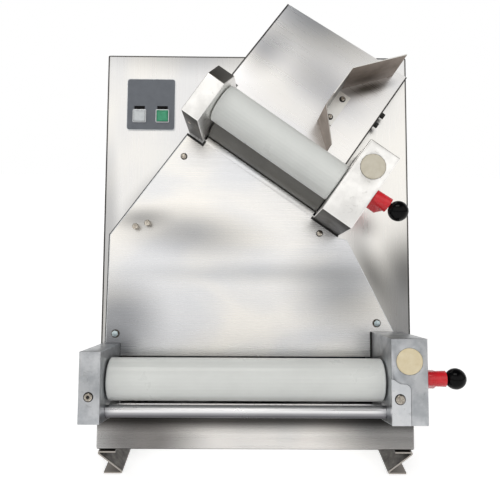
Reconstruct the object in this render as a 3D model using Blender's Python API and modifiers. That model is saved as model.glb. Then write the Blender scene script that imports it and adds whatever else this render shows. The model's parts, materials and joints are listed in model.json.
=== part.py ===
# Two-stage electric dough sheeter: inclined rollers above, level rollers below.
# Metres, +Z up, +Y to the back of the machine, +X to the right seen from the front.
import math

import bmesh
import bpy
from mathutils import Matrix, Vector

# Housing
LEFT_MARGIN = 0.034         # housing past the left ends of the lower rollers
RIGHT_MARGIN = 0.066        # and past their right ends, over the drive
PANEL_LENGTH = 0.640        # front panel, measured along its slope
PANEL_LEAN = math.radians(15)
BODY_DEPTH = 0.330          # at the bottom, from the front edge to the back
SHEET = 0.0015              # stainless sheet of the housing
BEND_RADIUS = 0.0025
FIT = 0.0003                # gap between pieces that touch
OVERRUN = 0.004             # how far a cutter runs past what it cuts
WELD = 0.00001              # merge distance inside a mesh

# Openings in the front panel, from the front roller's height
OPENING_BELOW = 0.050
OPENING_ABOVE = 0.025
SEAT_RISE = 0.004           # lugs in the opening's lower edge that the side plates sit on

# Slide plate on the front panel
PLATE_SHEET = 0.002
PLATE_LEFT_MARGIN = 0.0085  # from the housing's sides
PLATE_RIGHT_MARGIN = 0.028
SHOULDER_DROP = 0.1376      # left corner of the outline, under the middle of the upper rollers
CORNER_STEP = (0.0144, -0.0073)         # right corner, from the upper right head's outer corner
HEAD_NOTCH_GAP = 0.0025     # between the plate's notches and the heads

# Lower front panel under the rollers
APRON_HEIGHT = 0.050
APRON_PROUD = 0.012
APRON_GAP = 0.0039          # up to the lower heads

# Feet, folded from strip
FOOT_HEIGHT = 0.039
FOOT_STRIP = 0.0025
FOOT_TOP_FLANGE = 0.030
FOOT_LEAN = 0.042           # how far the web leans in
FOOT_BOTTOM_FLANGE = 0.0315
FOOT_BEND = 0.002           # radius of its bends, at the middle of the strip
FOOT_SETBACK = 0.002        # from the housing's back
FOOT_AHEAD = 0.0105         # in front of the housing's lower front edge

# Rear cover and its vents
VENT_WIDTH = 0.060
VENT_HEIGHT = 0.005
VENT_PITCH = 0.014
VENT_ROWS = 6
VENT_COLUMNS_SHARES = (-0.28, 0.28)
VENT_LOWEST = 0.110

# Control panel and push buttons
CONTROL_WIDTH = 0.080
CONTROL_HEIGHT = 0.087
CONTROL_ASIDE = 0.0735      # its middle, from the housing's left side
CONTROL_DROP = 0.084        # its middle, below the panel's top
CONTROL_SHEET = 0.0012
CONTROL_CORNER = 0.005
BUTTON_SIZE = 0.0188
BUTTON_PRESSED = 0.0025     # how far a pressed button still stands out
BUTTON_BODY = 0.009         # how far a button reaches behind the panel
BUTTON_SPACING = 0.038
BUTTON_DROP = 0.0195        # below the control panel's middle
BUTTON_TRAVEL = 0.0025

# Roller groups: length of the rollers, and the place of their middle on the panel
LOWER_LENGTH = 0.400
LOWER_PROUD = 0.074         # front roller's axis, out from the panel
UPPER_ASIDE = 0.0326        # right of the housing's middle
UPPER_DROP = 0.1644         # below the panel's top
UPPER_SHORTER = 0.183       # shorter than the lower rollers
UPPER_PROUD = 0.068
UPPER_TURN = math.radians(35)

# Rollers
ROLLER_RADIUS = 0.031
ROLLER_EDGE = 0.0015
JOURNAL_RADIUS = 0.009
NIP_CLOSED = 0.0006         # least gap between the two rollers
TRAVEL = 0.004              # thickness range
PAIR_DROP = math.radians(10)  # the rear roller lies lower by this angle
ROLLER_STEPS = 36
SMALL_STEPS = 16

# Along a roller, measured out from its end
END_PLAY = 0.002
HEAD_WALL = 0.004
PLATE_START = 0.0065
SIDE_PLATE = 0.008
GEAR_START = 0.0155
GEAR_WIDTH = 0.011
LEFT_HEAD_WIDTH = 0.030
RIGHT_HEAD_WIDTH = 0.051

# Heads, seen from the side: out from the front roller's axis, and up from it
LOWER_HEAD_AHEAD = 0.053
UPPER_HEAD_AHEAD = 0.049
HEAD_BOTTOM = 0.0545
HEAD_BOTTOM_FALL = 0.010    # the lower heads are this much deeper at the panel
LEFT_HEAD_TOP = 0.045
LOWER_RIGHT_HEAD_TOP = 0.065
UPPER_RIGHT_HEAD_TOP = 0.071
CHAMFER_LOW = 0.0133        # upper left head: where its sloping corner starts
CHAMFER_HIGH = 0.038
CHAMFER_RUN = 0.022
HEAD_EDGE = 0.0010

# Side plates
SIDE_ABOVE = 0.033
SIDE_AHEAD = 0.026          # in front of the roller's axis
SIDE_CORNER_LOW = 0.012
SIDE_CORNER_HIGH = 0.030
SIDE_CORNER_RUN = 0.014
SIDE_LEFT_BACK = 0.032
SIDE_PAST_MOTOR = 0.040

# Sliding bearing blocks
BLOCK = 0.030
YOKE = 0.005
YOKE_HEIGHT = 0.026
YOKE_END = 0.012            # past the lever's axis

# Roller gears
TEETH = 20
PRESSURE_ANGLE = math.radians(20)
ADDENDUM = 0.0032
DEDENDUM = 0.0038
TOOTH_AT_PITCH = 0.0045

# Drive
PULLEY_RADIUS = 0.024
PULLEY_WIDTH = 0.014
PULLEY_RIM = 0.003
PULLEY_RIM_WIDTH = 0.0015
DRIVE_ROOM = 0.003          # past the pulleys, in the openings
BELT = 0.003
BELT_WIDTH = 0.0100
MOTOR_BACK = 0.095          # motor axis, behind the panel
MOTOR_DROP = 0.005
MOTOR_RADIUS = 0.045
MOTOR_LENGTH = 0.140
GEARBOX_RADIUS = 0.036
GEARBOX_LENGTH = 0.045
MOTOR_SPIGOT = 0.016
MOTOR_EDGE = 0.004
MOTOR_SHAFT = 0.007

# Thickness levers
LEVER_AHEAD = 0.018         # lever axis, in front of the roller's axis
LEVER_ABOVE = 0.004
LEVER_SHAFT = 0.008
LEVER_COLLAR = 0.011
LEVER_COLLAR_WIDTH = 0.004
PIN_RADIUS = 0.004
PIN_PLAY = 0.0008
CRANK = 0.018
CRANK_RISE = math.radians(11)  # the open lever's sleeve is a little above its hub
HUB_RADIUS = 0.0134
HUB_CAP = 0.009             # conical end of the hub
HUB_CAP_RADIUS = 0.003
SLEEVE_RADIUS = 0.0104
SLEEVE_MOUTH = 0.0114       # the sleeve is wider at the ball
ARM_WIDTH = 0.0165
LOWER_SLEEVE_REACH = 0.0419  # from the head's side to the sleeve's end
UPPER_SLEEVE_REACH = 0.0262
BALL_RADIUS = 0.0150
STEM_RADIUS = 0.004
PLUNGER_RADIUS = 0.003
PLUNGER_DEPTH = 0.0012      # how far its tip stands in the groove
PLUNGER_TIP = 0.0018        # its conical end
GROOVE_DEPTH = 0.0018
INDEX_HOLES = 5
INDEX_HOLE_RADIUS = 0.0024
INDEX_SWEEP = math.radians(180)
SHAFT_BOSS = 0.007          # inside the head's outer wall
SHAFT_BOSS_RADIUS = 0.013

# Plug in the front of each right head
PLUG_RADIUS = 0.019
PLUG_INSET = 0.0255         # from the head's inner side
PLUG_PROUD = 0.0004
LOWER_PLUG_UP = 0.0334
UPPER_PLUG_UP = 0.0385

# Cover in the lower right head's front
COVER_WIDTH = 0.027
COVER_LOW_SHOULDER = 0.0025     # above the roller's axis, at the outer edge of the seam
COVER_HIGH_SHOULDER = 0.0092
COVER_BEND = 0.008
COVER_SEAM = 0.0004

# Bar between the lower heads
BAR_RADIUS = 0.009
BAR_AHEAD = 0.014           # in front of the roller's axis
BAR_DROP = 0.0438

# Scrapers behind the rear rollers
SCRAPER_ANGLE = math.radians(232)
SCRAPER_GAP = 0.0006
SCRAPER_THICK = 0.003
SCRAPER_HEIGHT = 0.016

# Feed chute, in the upper rollers' directions
CHUTE_PAST_LEFT = 0.021     # past the left end of the rollers
CHUTE_SHORT_RIGHT = 0.0045  # short of their right end
CHUTE_FOOT = 0.0245
CHUTE_TOP_LEFT = 0.217
CHUTE_TOP_RIGHT = 0.229
CHUTE_BEHIND = 0.0295       # its face behind the roller's axis, where CHUTE_DATUM is
CHUTE_DATUM = 0.055
CHUTE_LEAN = math.radians(9.1)
CHUTE_SHEET = 0.0015

# Chute guide: plan on the chute
GUIDE_HEIGHT = 0.067
GUIDE_FOLD_HEIGHT = 0.060   # where the lower wing starts
GUIDE_TIP_HEIGHT = 0.029    # at the lower wing's tip
GUIDE_SHEET = 0.0015
GUIDE_WALL_ASIDE = 0.0775   # from the chute's right side
GUIDE_LOW_TIP_ASIDE = 0.037
GUIDE_HIGH_TIP_ASIDE = 0.022
GUIDE_WALL_LOW = 0.0485     # up from the chute's foot
GUIDE_LOW_TIP = 0.015
GUIDE_WALL_HIGH = 0.085     # down from the chute's top
GUIDE_HIGH_TIP = 0.013
GUIDE_FLANGE_WIDTH = 0.021
GUIDE_FLANGE_SHORT = 0.0055 # shorter than the wall, at both ends

# Screws and stop pins on the slide plate
SCREW_HEAD = 0.0055
SCREW_HEAD_HEIGHT = 0.004
SCREW_SHANK = 0.0025
SCREW_REACH = 0.008
UPPER_LEFT_SCREW = (-0.0067, -0.0438)   # from the upper left head's outer lower corner
UPPER_RIGHT_SCREW = (0.0110, -0.0261)   # from the upper right head's inner lower corner
LOWER_LEFT_SCREW = (-0.0084, 0.0140)    # from the plate's notch over each lower head
LOWER_RIGHT_SCREW = (0.0111, 0.0126)
LEFT_PIN = (0.0458, 0.0120)             # from the plate's left shoulder
RIGHT_PIN = (0.0650, 0.0176)
STOP_PIN_RADIUS = 0.005
STOP_PIN_LENGTH = 0.016
STOP_PIN_EDGE = 0.0008

# Electrical box and cable gland
BOX_WIDTH = 0.110
BOX_HEIGHT = 0.150
BOX_DEPTH = 0.060
BOX_ASIDE = 0.100           # from the housing's left side
BOX_FLOOR = 0.340
GLAND_ASIDE = 0.060
GLAND_HEIGHT = 0.055
GLAND_HOLE = 0.010
GLAND_BODY = 0.0095
GLAND_HEX = 0.013
GLAND_BORE = 0.005
GLAND_PROUD = 0.020
GLAND_NUT = 0.006

# Worked out from the sizes above
BODY_WIDTH = LEFT_MARGIN + LOWER_LENGTH + RIGHT_MARGIN
LOWER_X = (LEFT_MARGIN - RIGHT_MARGIN) / 2
LOWER_V = APRON_HEIGHT + APRON_GAP + HEAD_BOTTOM + HEAD_BOTTOM_FALL
LOWER_HEAD_DEPTH = LOWER_PROUD + LOWER_HEAD_AHEAD
UPPER_LENGTH = LOWER_LENGTH - UPPER_SHORTER
UPPER_X = UPPER_ASIDE
UPPER_V = PANEL_LENGTH - UPPER_DROP
UPPER_HEAD_DEPTH = UPPER_PROUD + UPPER_HEAD_AHEAD
CONTROL_X = CONTROL_ASIDE - BODY_WIDTH / 2
CONTROL_V = PANEL_LENGTH - CONTROL_DROP
CHUTE_LEFT = -UPPER_LENGTH / 2 - CHUTE_PAST_LEFT
CHUTE_RIGHT = UPPER_LENGTH / 2 - CHUTE_SHORT_RIGHT
CHUTE_PROUD = UPPER_PROUD - CHUTE_BEHIND
PAIR_DISTANCE = 2 * ROLLER_RADIUS + NIP_CLOSED
ECCENTRIC = TRAVEL / 2
PANEL_RISE = PANEL_LENGTH * math.cos(PANEL_LEAN)
PANEL_RUN = PANEL_LENGTH * math.sin(PANEL_LEAN)
BEARING_RADIUS = JOURNAL_RADIUS + FIT
GUIDE_LIFT = CHUTE_SHEET / 2 + FIT

LOWER = {
    "name": "lower",
    "place": (LOWER_X, 0, LOWER_V),
    "turn": 0,
    "length": LOWER_LENGTH,
    "proud": LOWER_PROUD,
    "head_depth": LOWER_HEAD_DEPTH,
    "right_top": LOWER_RIGHT_HEAD_TOP,
    "fall": HEAD_BOTTOM_FALL,
    "chamfer": False,
    "open": 1,
    "sleeve_reach": LOWER_SLEEVE_REACH,
    "plug_up": LOWER_PLUG_UP,
}
UPPER = {
    "name": "upper",
    "place": (UPPER_X, 0, UPPER_V),
    "turn": UPPER_TURN,
    "length": UPPER_LENGTH,
    "proud": UPPER_PROUD,
    "head_depth": UPPER_HEAD_DEPTH,
    "right_top": UPPER_RIGHT_HEAD_TOP,
    "fall": 0,
    "chamfer": True,
    "open": 1,
    "sleeve_reach": UPPER_SLEEVE_REACH,
    "plug_up": UPPER_PLUG_UP,
}

# Axis maps for flat outlines: the outline's two directions, then the way it is extruded
FRONT = Matrix(((1, 0, 0, 0), (0, 0, -1, 0), (0, 1, 0, 0), (0, 0, 0, 1)))
SIDE = Matrix(((0, 0, 1, 0), (1, 0, 0, 0), (0, 1, 0, 0), (0, 0, 0, 1)))
TOP = Matrix.Identity(4)


# Scene

def start_scene():
    for old in list(bpy.data.objects):
        bpy.data.objects.remove(old, do_unlink=True)
    parts = bpy.data.collections.new("dough_sheeter")
    cutters = bpy.data.collections.new("cutters")
    bpy.context.scene.collection.children.link(parts)
    bpy.context.scene.collection.children.link(cutters)
    return parts, cutters


PARTS, CUTTERS = start_scene()


def material(name, colour, roughness, metallic):
    made = bpy.data.materials.new(name)
    made.use_nodes = True
    shader = made.node_tree.nodes["Principled BSDF"]
    shader.inputs["Base Color"].default_value = (*colour, 1)
    shader.inputs["Roughness"].default_value = roughness
    shader.inputs["Metallic"].default_value = metallic
    made.diffuse_color = (*colour, 1)
    return made


STAINLESS = material("brushed_stainless", (0.66, 0.64, 0.62), 0.32, 1)
DARK_STEEL = material("plated_steel", (0.42, 0.42, 0.43), 0.35, 1)
CAST_ALUMINIUM = material("satin_aluminium", (0.62, 0.63, 0.65), 0.42, 1)
ROLLER_POLYMER = material("food_grade_acetal", (0.60, 0.63, 0.58), 0.35, 0)
POLISHED_STEEL = material("polished_steel", (0.75, 0.75, 0.76), 0.15, 1)
RED_POLYMER = material("red_polymer", (0.62, 0.01, 0.02), 0.35, 0)
BLACK_PHENOLIC = material("black_phenolic", (0.008, 0.008, 0.009), 0.12, 0)
CREAM_POLYMER = material("cream_polymer", (0.80, 0.72, 0.53), 0.5, 0)
PANEL_GREY = material("grey_anodised", (0.20, 0.22, 0.25), 0.45, 0.6)
WHITE_POLYMER = material("white_polymer", (0.76, 0.78, 0.80), 0.3, 0)
GREEN_POLYMER = material("green_polymer", (0.01, 0.28, 0.11), 0.3, 0)
BELT_RUBBER = material("belt_rubber", (0.015, 0.015, 0.015), 0.8, 0)
MOTOR_PAINT = material("motor_paint", (0.10, 0.12, 0.16), 0.5, 0)
BOX_POLYMER = material("box_polymer", (0.45, 0.46, 0.47), 0.5, 0)


def frame(name, parent=None, location=(0, 0, 0), rotation=(0, 0, 0)):
    made = bpy.data.objects.new(name, None)
    made.parent = parent
    made.location = location
    made.rotation_euler = rotation
    PARTS.objects.link(made)
    return made


def part(name, mesh, parent, finish, location=(0, 0, 0), rotation=(0, 0, 0)):
    made = bpy.data.objects.new(name, mesh)
    made.parent = parent
    made.location = location
    made.rotation_euler = rotation
    mesh.materials.clear()
    mesh.materials.append(finish)
    PARTS.objects.link(made)
    return made


def cutter(name, mesh, parent, location=(0, 0, 0), rotation=(0, 0, 0)):
    made = bpy.data.objects.new(name, mesh)
    made.parent = parent
    made.location = location
    made.rotation_euler = rotation
    made.hide_render = True
    made.display_type = "WIRE"
    CUTTERS.objects.link(made)
    return made


def boolean(target, tool, operation="DIFFERENCE"):
    step = target.modifiers.new(tool.name, "BOOLEAN")
    step.operation = operation
    step.solver = "EXACT"
    step.object = tool
    return step


def shade_round(mesh, angle=math.radians(30)):
    mesh.shade_smooth()
    mesh.set_sharp_from_angle(angle=angle)


# Basic solids

def box_mesh(name, low, high):
    low = Vector(low)
    high = Vector(high)
    work = bmesh.new()
    bmesh.ops.create_cube(work, size=1)
    bmesh.ops.scale(work, verts=work.verts, vec=high - low)
    bmesh.ops.translate(work, verts=work.verts, vec=(low + high) / 2)
    mesh = bpy.data.meshes.new(name)
    work.to_mesh(mesh)
    work.free()
    return mesh


def rod_mesh(name, start, end, radius, across=(0, 0), steps=SMALL_STEPS, end_radius=None):
    """Cylinder or cone along X between two stations; across is its place in Y and Z."""
    work = bmesh.new()
    bmesh.ops.create_cone(work, cap_ends=True, segments=steps, radius1=radius,
                          radius2=radius if end_radius is None else end_radius, depth=end - start)
    bmesh.ops.rotate(work, verts=work.verts, matrix=Matrix.Rotation(math.radians(90), 3, "Y"))
    bmesh.ops.translate(work, verts=work.verts, vec=((start + end) / 2, across[0], across[1]))
    mesh = bpy.data.meshes.new(name)
    work.to_mesh(mesh)
    work.free()
    shade_round(mesh)
    return mesh


def flat_mesh(name, outlines, start, end, axes):
    """Flat outlines, filled and extruded from start to end. Later outlines are holes."""
    curve = bpy.data.curves.new(name, "CURVE")
    curve.dimensions = "2D"
    curve.fill_mode = "BOTH"
    curve.extrude = (end - start) / 2
    for outline in outlines:
        spline = curve.splines.new("POLY")
        spline.points.add(len(outline) - 1)
        for point, place in zip(spline.points, outline):
            point.co = (place[0], place[1], 0, 1)
        spline.use_cyclic_u = True
    holder = bpy.data.objects.new(name, curve)
    CUTTERS.objects.link(holder)
    bpy.context.view_layer.update()
    ready = holder.evaluated_get(bpy.context.evaluated_depsgraph_get())
    mesh = bpy.data.meshes.new_from_object(ready)
    bpy.data.objects.remove(holder)
    bpy.data.curves.remove(curve)
    work = bmesh.new()
    work.from_mesh(mesh)
    bmesh.ops.remove_doubles(work, verts=work.verts, dist=WELD)
    bmesh.ops.translate(work, verts=work.verts, vec=(0, 0, (start + end) / 2))
    bmesh.ops.transform(work, verts=work.verts, matrix=axes)
    bmesh.ops.recalc_face_normals(work, faces=work.faces)
    work.to_mesh(mesh)
    work.free()
    mesh.name = name
    return mesh


def turned(name, profile, parent, finish, location=(0, 0, 0), rotation=(0, 0, 0),
           closed=False, steps=SMALL_STEPS):
    """Turned along X. The profile lists (station, radius) from the +X end down the outside."""
    work = bmesh.new()
    points = [work.verts.new((radius, 0, station)) for station, radius in profile]
    for first, second in zip(points, points[1:]):
        work.edges.new((first, second))
    if closed:
        work.edges.new((points[-1], points[0]))
    mesh = bpy.data.meshes.new(name)
    work.to_mesh(mesh)
    work.free()
    made = part(name, mesh, parent, finish, location, rotation)
    spin = made.modifiers.new("turn", "SCREW")
    spin.axis = "Z"
    spin.angle = math.radians(360)
    spin.steps = steps
    spin.render_steps = steps
    spin.use_merge_vertices = True
    spin.merge_threshold = WELD
    spin.use_normal_calculate = False
    spin.use_smooth_shade = False
    return made


ALONG_X = (0, math.radians(90), 0)


def circle(centre, radius, steps=SMALL_STEPS):
    turn = 2 * math.pi / steps
    return [(centre[0] + radius * math.cos(turn * step),
             centre[1] + radius * math.sin(turn * step)) for step in range(steps)]


def rectangle(low, high):
    return [(low[0], low[1]), (high[0], low[1]), (high[0], high[1]), (low[0], high[1])]


def rounded_rectangle(low, high, radius, steps=6):
    corners = ((high[0], high[1], 0), (low[0], high[1], 1), (low[0], low[1], 2), (high[0], low[1], 3))
    points = []
    for x, y, quarter in corners:
        inward_x = -radius if quarter in (0, 3) else radius
        inward_y = -radius if quarter in (0, 1) else radius
        for step in range(steps + 1):
            angle = (quarter + step / steps) * math.pi / 2
            points.append((x + inward_x + radius * math.cos(angle),
                           y + inward_y + radius * math.sin(angle)))
    return points


def inset(outline, distances):
    """Convex outline, anticlockwise, with each edge moved in by its own distance."""
    lines = []
    count = len(outline)
    for index in range(count):
        start = Vector(outline[index])
        along = (Vector(outline[(index + 1) % count]) - start).normalized()
        inward = Vector((-along.y, along.x))
        lines.append((start + inward * distances[index], along))
    points = []
    for index in range(count):
        a, along_a = lines[index - 1]
        b, along_b = lines[index]
        share = (b - a).cross(along_b) / along_a.cross(along_b)
        points.append(tuple(a + along_a * share))
    return points


def folded_outline(path, thickness):
    """Outline of a folded strip seen on edge, from its middle line, with mitred bends."""
    points = [Vector(place) for place in path]
    directions = [(b - a).normalized() for a, b in zip(points, points[1:])]
    offsets = []
    for index in range(len(points)):
        before = directions[max(index - 1, 0)]
        after = directions[min(index, len(directions) - 1)]
        normal = (Vector((-before.y, before.x)) + Vector((-after.y, after.x))).normalized()
        stretch = normal.dot(Vector((-after.y, after.x)))
        offsets.append(normal * (thickness / 2 / stretch))
    one_side = [tuple(point + offset) for point, offset in zip(points, offsets)]
    other_side = [tuple(point - offset) for point, offset in zip(points, offsets)]
    return one_side + other_side[::-1]


def rounded_path(path, radius, steps=4):
    """The same path with an arc at each bend."""
    points = [Vector(place) for place in path]
    rounded = [path[0]]
    for before, bend, after in zip(points, points[1:], points[2:]):
        back = (before - bend).normalized()
        ahead = (after - bend).normalized()
        half = back.angle(ahead) / 2
        centre = bend + (back + ahead).normalized() * (radius / math.sin(half))
        start = bend + back * (radius / math.tan(half)) - centre
        sweep = start.angle_signed(bend + ahead * (radius / math.tan(half)) - centre)
        for step in range(steps + 1):
            turned_point = centre + Matrix.Rotation(-sweep * step / steps, 2) @ start
            rounded.append(tuple(turned_point))
    rounded.append(path[-1])
    return rounded


def union_mesh(name, meshes, removed=()):
    """Joins solids into one mesh and cuts others away, with the exact solver."""
    base = bpy.data.objects.new(name, meshes[0])
    CUTTERS.objects.link(base)
    helpers = []
    steps = [(mesh, "UNION") for mesh in meshes[1:]] + [(mesh, "DIFFERENCE") for mesh in removed]
    for index, (mesh, operation) in enumerate(steps):
        helper = cutter(f"{name}_tool_{index}", mesh, None)
        boolean(base, helper, operation)
        helpers.append(helper)
    bpy.context.view_layer.update()
    ready = base.evaluated_get(bpy.context.evaluated_depsgraph_get())
    mesh = bpy.data.meshes.new_from_object(ready)
    for helper in helpers + [base]:
        bpy.data.objects.remove(helper)
    mesh.name = name
    return mesh


# Frames of the machine: the root stands on the ground, the panel frame leans back

def machine_frames():
    root = frame("machine")
    panel = frame("front_panel_frame", root, rotation=(-PANEL_LEAN, 0, 0))
    groups = {}
    for group in (LOWER, UPPER):
        groups[group["name"]] = frame(f"{group['name']}_rollers_frame", panel, group["place"],
                                      (0, group["turn"], 0))
    return root, panel, groups


# Places inside a roller group: X along the rollers, Y into the machine, Z up

def front_axis(group):
    return Vector((0, -group["proud"], 0))


def toward_rear():
    return Vector((0, math.cos(PAIR_DROP), -math.sin(PAIR_DROP)))


def rear_axis(group):
    return front_axis(group) + toward_rear() * (PAIR_DISTANCE + group["open"] * TRAVEL)


def lever_axis(group):
    return front_axis(group) + Vector((0, -LEVER_AHEAD, LEVER_ABOVE))


def crank_side(group):
    """The open lever points to the front and a little up, and the closed one the other way."""
    forward = Vector((0, -math.cos(CRANK_RISE), math.sin(CRANK_RISE)))
    return forward if group["open"] else -forward


def motor_axis(group):
    return Vector((0, MOTOR_BACK, rear_axis(group).z + MOTOR_DROP))


def stations(group, side, near, far):
    """Two places along the rollers, the lower one first."""
    end = group["length"] / 2
    ends = (side * (end + near), side * (end + far))
    return min(ends), max(ends)


# Housing

def body_shell(root, panel, groups):
    work = bmesh.new()
    bmesh.ops.create_cube(work, size=1)
    for vert in work.verts:
        at_top = vert.co.z > 0
        at_back = vert.co.y > 0
        front = PANEL_RUN if at_top else 0
        vert.co = Vector((math.copysign(BODY_WIDTH / 2, vert.co.x), BODY_DEPTH if at_back else front,
                          PANEL_RISE if at_top else 0))
    open_faces = [face for face in work.faces if face.normal.z < -math.cos(PANEL_LEAN)
                  or face.normal.y > math.cos(PANEL_LEAN)]
    bmesh.ops.delete(work, geom=open_faces, context="FACES_ONLY")
    bends = [edge for edge in work.edges if len(edge.link_faces) == 2]
    bmesh.ops.bevel(work, geom=bends, offset=BEND_RADIUS, segments=3, profile=0.5, affect="EDGES",
                    material=-1)
    mesh = bpy.data.meshes.new("body_shell")
    work.to_mesh(mesh)
    work.free()
    made = part("body_shell", mesh, root, STAINLESS)
    wall = made.modifiers.new("sheet", "SOLIDIFY")
    wall.thickness = SHEET
    wall.offset = -1
    wall.use_even_offset = True
    for group in (LOWER, UPPER):
        hole = flat_mesh(f"{group['name']}_opening", [opening_outline(group)], -OVERRUN, OVERRUN, FRONT)
        boolean(made, cutter(f"{group['name']}_opening", hole, groups[group["name"]]))
    for name, offset in (("stop", -1), ("start", 1)):
        boolean(made, cutter(f"shell_{name}_hole", button_hole_mesh(f"shell_{name}_hole", offset), panel))
    for name, place in fixing_places():
        tool = cutter(f"shell_{name}_hole", fixing_hole_mesh(f"shell_{name}_hole", place), panel)
        boolean(made, tool)
    return made


def opening_outline(group):
    """Opening for a pair of rollers. Two lugs in its lower edge carry the side plates."""
    left = stations(group, -1, 0, END_PLAY + LEFT_HEAD_WIDTH - HEAD_WALL - FIT)[0]
    right = stations(group, 1, 0, pulley_end() + DRIVE_ROOM)[1]
    low = -OPENING_BELOW
    points = [(right, OPENING_ABOVE), (left, OPENING_ABOVE), (left, low)]
    for side in (-1, 1):
        start, end = stations(group, side, PLATE_START - FIT, PLATE_START + SIDE_PLATE + FIT)
        points += [(start, low), (start, low + SEAT_RISE), (end, low + SEAT_RISE), (end, low)]
    return points + [(right, low)]


def base_plate(root):
    inside = BODY_WIDTH / 2 - SHEET - 2 * FIT
    front = (SHEET + FIT) / math.cos(PANEL_LEAN) + (FIT + SHEET) * math.tan(PANEL_LEAN)
    mesh = box_mesh("base_plate", (-inside, front, FIT), (inside, BODY_DEPTH - FIT, FIT + SHEET))
    return part("base_plate", mesh, root, STAINLESS)


def gland_place():
    return GLAND_ASIDE - BODY_WIDTH / 2, GLAND_HEIGHT


def rear_cover(root):
    half = BODY_WIDTH / 2
    outlines = [rounded_rectangle((-half, 0), (half, PANEL_RISE), BEND_RADIUS, 3)]
    for share in VENT_COLUMNS_SHARES:
        for row in range(VENT_ROWS):
            middle = share * BODY_WIDTH
            low = VENT_LOWEST + row * VENT_PITCH
            outlines.append(rounded_rectangle((middle - VENT_WIDTH / 2, low),
                                              (middle + VENT_WIDTH / 2, low + VENT_HEIGHT),
                                              VENT_HEIGHT / 2, 3))
    outlines.append(circle(gland_place(), GLAND_HOLE))
    back = BODY_DEPTH + FIT
    mesh = flat_mesh("rear_cover", outlines, -back - SHEET, -back, FRONT)
    return part("rear_cover", mesh, root, STAINLESS)


def feet(root):
    for name, side in (("left_foot", -1), ("right_foot", 1)):
        outer = BODY_WIDTH / 2
        top = -FIT - SHEET * math.sin(PANEL_LEAN) - FOOT_STRIP / 2     # clear of the panel's edge
        bottom = -FOOT_HEIGHT + FOOT_STRIP / 2
        path = [(side * (outer - FOOT_TOP_FLANGE), top), (side * outer, top),
                (side * (outer - FOOT_LEAN), bottom),
                (side * (outer - FOOT_LEAN + FOOT_BOTTOM_FLANGE), bottom)]
        outline = folded_outline(rounded_path(path, FOOT_BEND), FOOT_STRIP)
        mesh = flat_mesh(name, [outline], -BODY_DEPTH + FOOT_SETBACK, FOOT_AHEAD, FRONT)
        part(name, mesh, root, STAINLESS)


def lower_front_panel(panel):
    """Apron: a sheet that stands proud of the housing, with its edges folded back."""
    work = bmesh.new()
    bmesh.ops.create_cube(work, size=1)
    bmesh.ops.scale(work, verts=work.verts, vec=(BODY_WIDTH, APRON_PROUD - FIT, APRON_HEIGHT))
    bmesh.ops.translate(work, verts=work.verts,
                        vec=(0, -(APRON_PROUD + FIT) / 2, APRON_HEIGHT / 2))
    back = [face for face in work.faces if face.normal.y > math.cos(PANEL_LEAN)]
    bmesh.ops.delete(work, geom=back, context="FACES_ONLY")
    bends = [edge for edge in work.edges if len(edge.link_faces) == 2]
    bmesh.ops.bevel(work, geom=bends, offset=BEND_RADIUS, segments=2, profile=0.5, affect="EDGES",
                    material=-1)
    mesh = bpy.data.meshes.new("lower_front_panel")
    work.to_mesh(mesh)
    work.free()
    made = part("lower_front_panel", mesh, panel, STAINLESS)
    wall = made.modifiers.new("sheet", "SOLIDIFY")
    wall.thickness = SHEET
    wall.offset = -1
    wall.use_even_offset = True
    return made


# Slide plate

def head_span(group, side):
    width = LEFT_HEAD_WIDTH if side < 0 else RIGHT_HEAD_WIDTH
    return stations(group, side, END_PLAY, END_PLAY + width)


def on_panel(group, along, up):
    """Place on the panel of a point given in a roller group's directions."""
    turn = group["turn"]
    x, _, v = group["place"]
    return (x + along * math.cos(turn) + up * math.sin(turn),
            v - along * math.sin(turn) + up * math.cos(turn))


def left_notch_corner():
    """Inner corner of the plate's notch over the lower left head."""
    return LOWER_X + head_span(LOWER, -1)[1] + FIT, LOWER_V + LEFT_HEAD_TOP + FIT


def right_notch_corner():
    return (LOWER_X + head_span(LOWER, 1)[0] - HEAD_NOTCH_GAP,
            LOWER_V + LOWER_RIGHT_HEAD_TOP + FIT)


def left_shoulder():
    return PLATE_LEFT_MARGIN - BODY_WIDTH / 2, UPPER_V - SHOULDER_DROP


def upper_head_corner(side, end):
    """Lower corner of an upper head on the panel, at its left or right end."""
    return on_panel(UPPER, head_span(UPPER, side)[end], -HEAD_BOTTOM)


def stepped(start, step):
    return start[0] + step[0], start[1] + step[1]


def slide_plate_outline():
    left_inner, left_notch = left_notch_corner()
    right_inner, right_notch = right_notch_corner()
    plate_left, shoulder = left_shoulder()
    foot = LOWER_V + OPENING_ABOVE + 2 * FIT
    upper_foot = -HEAD_BOTTOM - HEAD_NOTCH_GAP
    left_end, left_inside = head_span(UPPER, -1)
    right_inside, right_end = head_span(UPPER, 1)
    tongue = -OPENING_BELOW - PLATE_SHEET
    return [
        (left_inner, foot), (right_inner, foot),
        (right_inner, right_notch), (BODY_WIDTH / 2 - PLATE_RIGHT_MARGIN, right_notch),
        stepped(upper_head_corner(1, 1), CORNER_STEP),
        on_panel(UPPER, right_end + FIT, upper_foot),
        on_panel(UPPER, right_inside - HEAD_NOTCH_GAP, upper_foot),
        on_panel(UPPER, right_inside - HEAD_NOTCH_GAP, tongue),
        on_panel(UPPER, left_inside + HEAD_NOTCH_GAP, tongue),
        on_panel(UPPER, left_inside + HEAD_NOTCH_GAP, upper_foot - HEAD_NOTCH_GAP),
        on_panel(UPPER, left_end + HEAD_NOTCH_GAP, upper_foot - HEAD_NOTCH_GAP),
        (plate_left + HEAD_NOTCH_GAP, shoulder),
        (plate_left, left_notch), (left_inner, left_notch),
    ]


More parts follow.
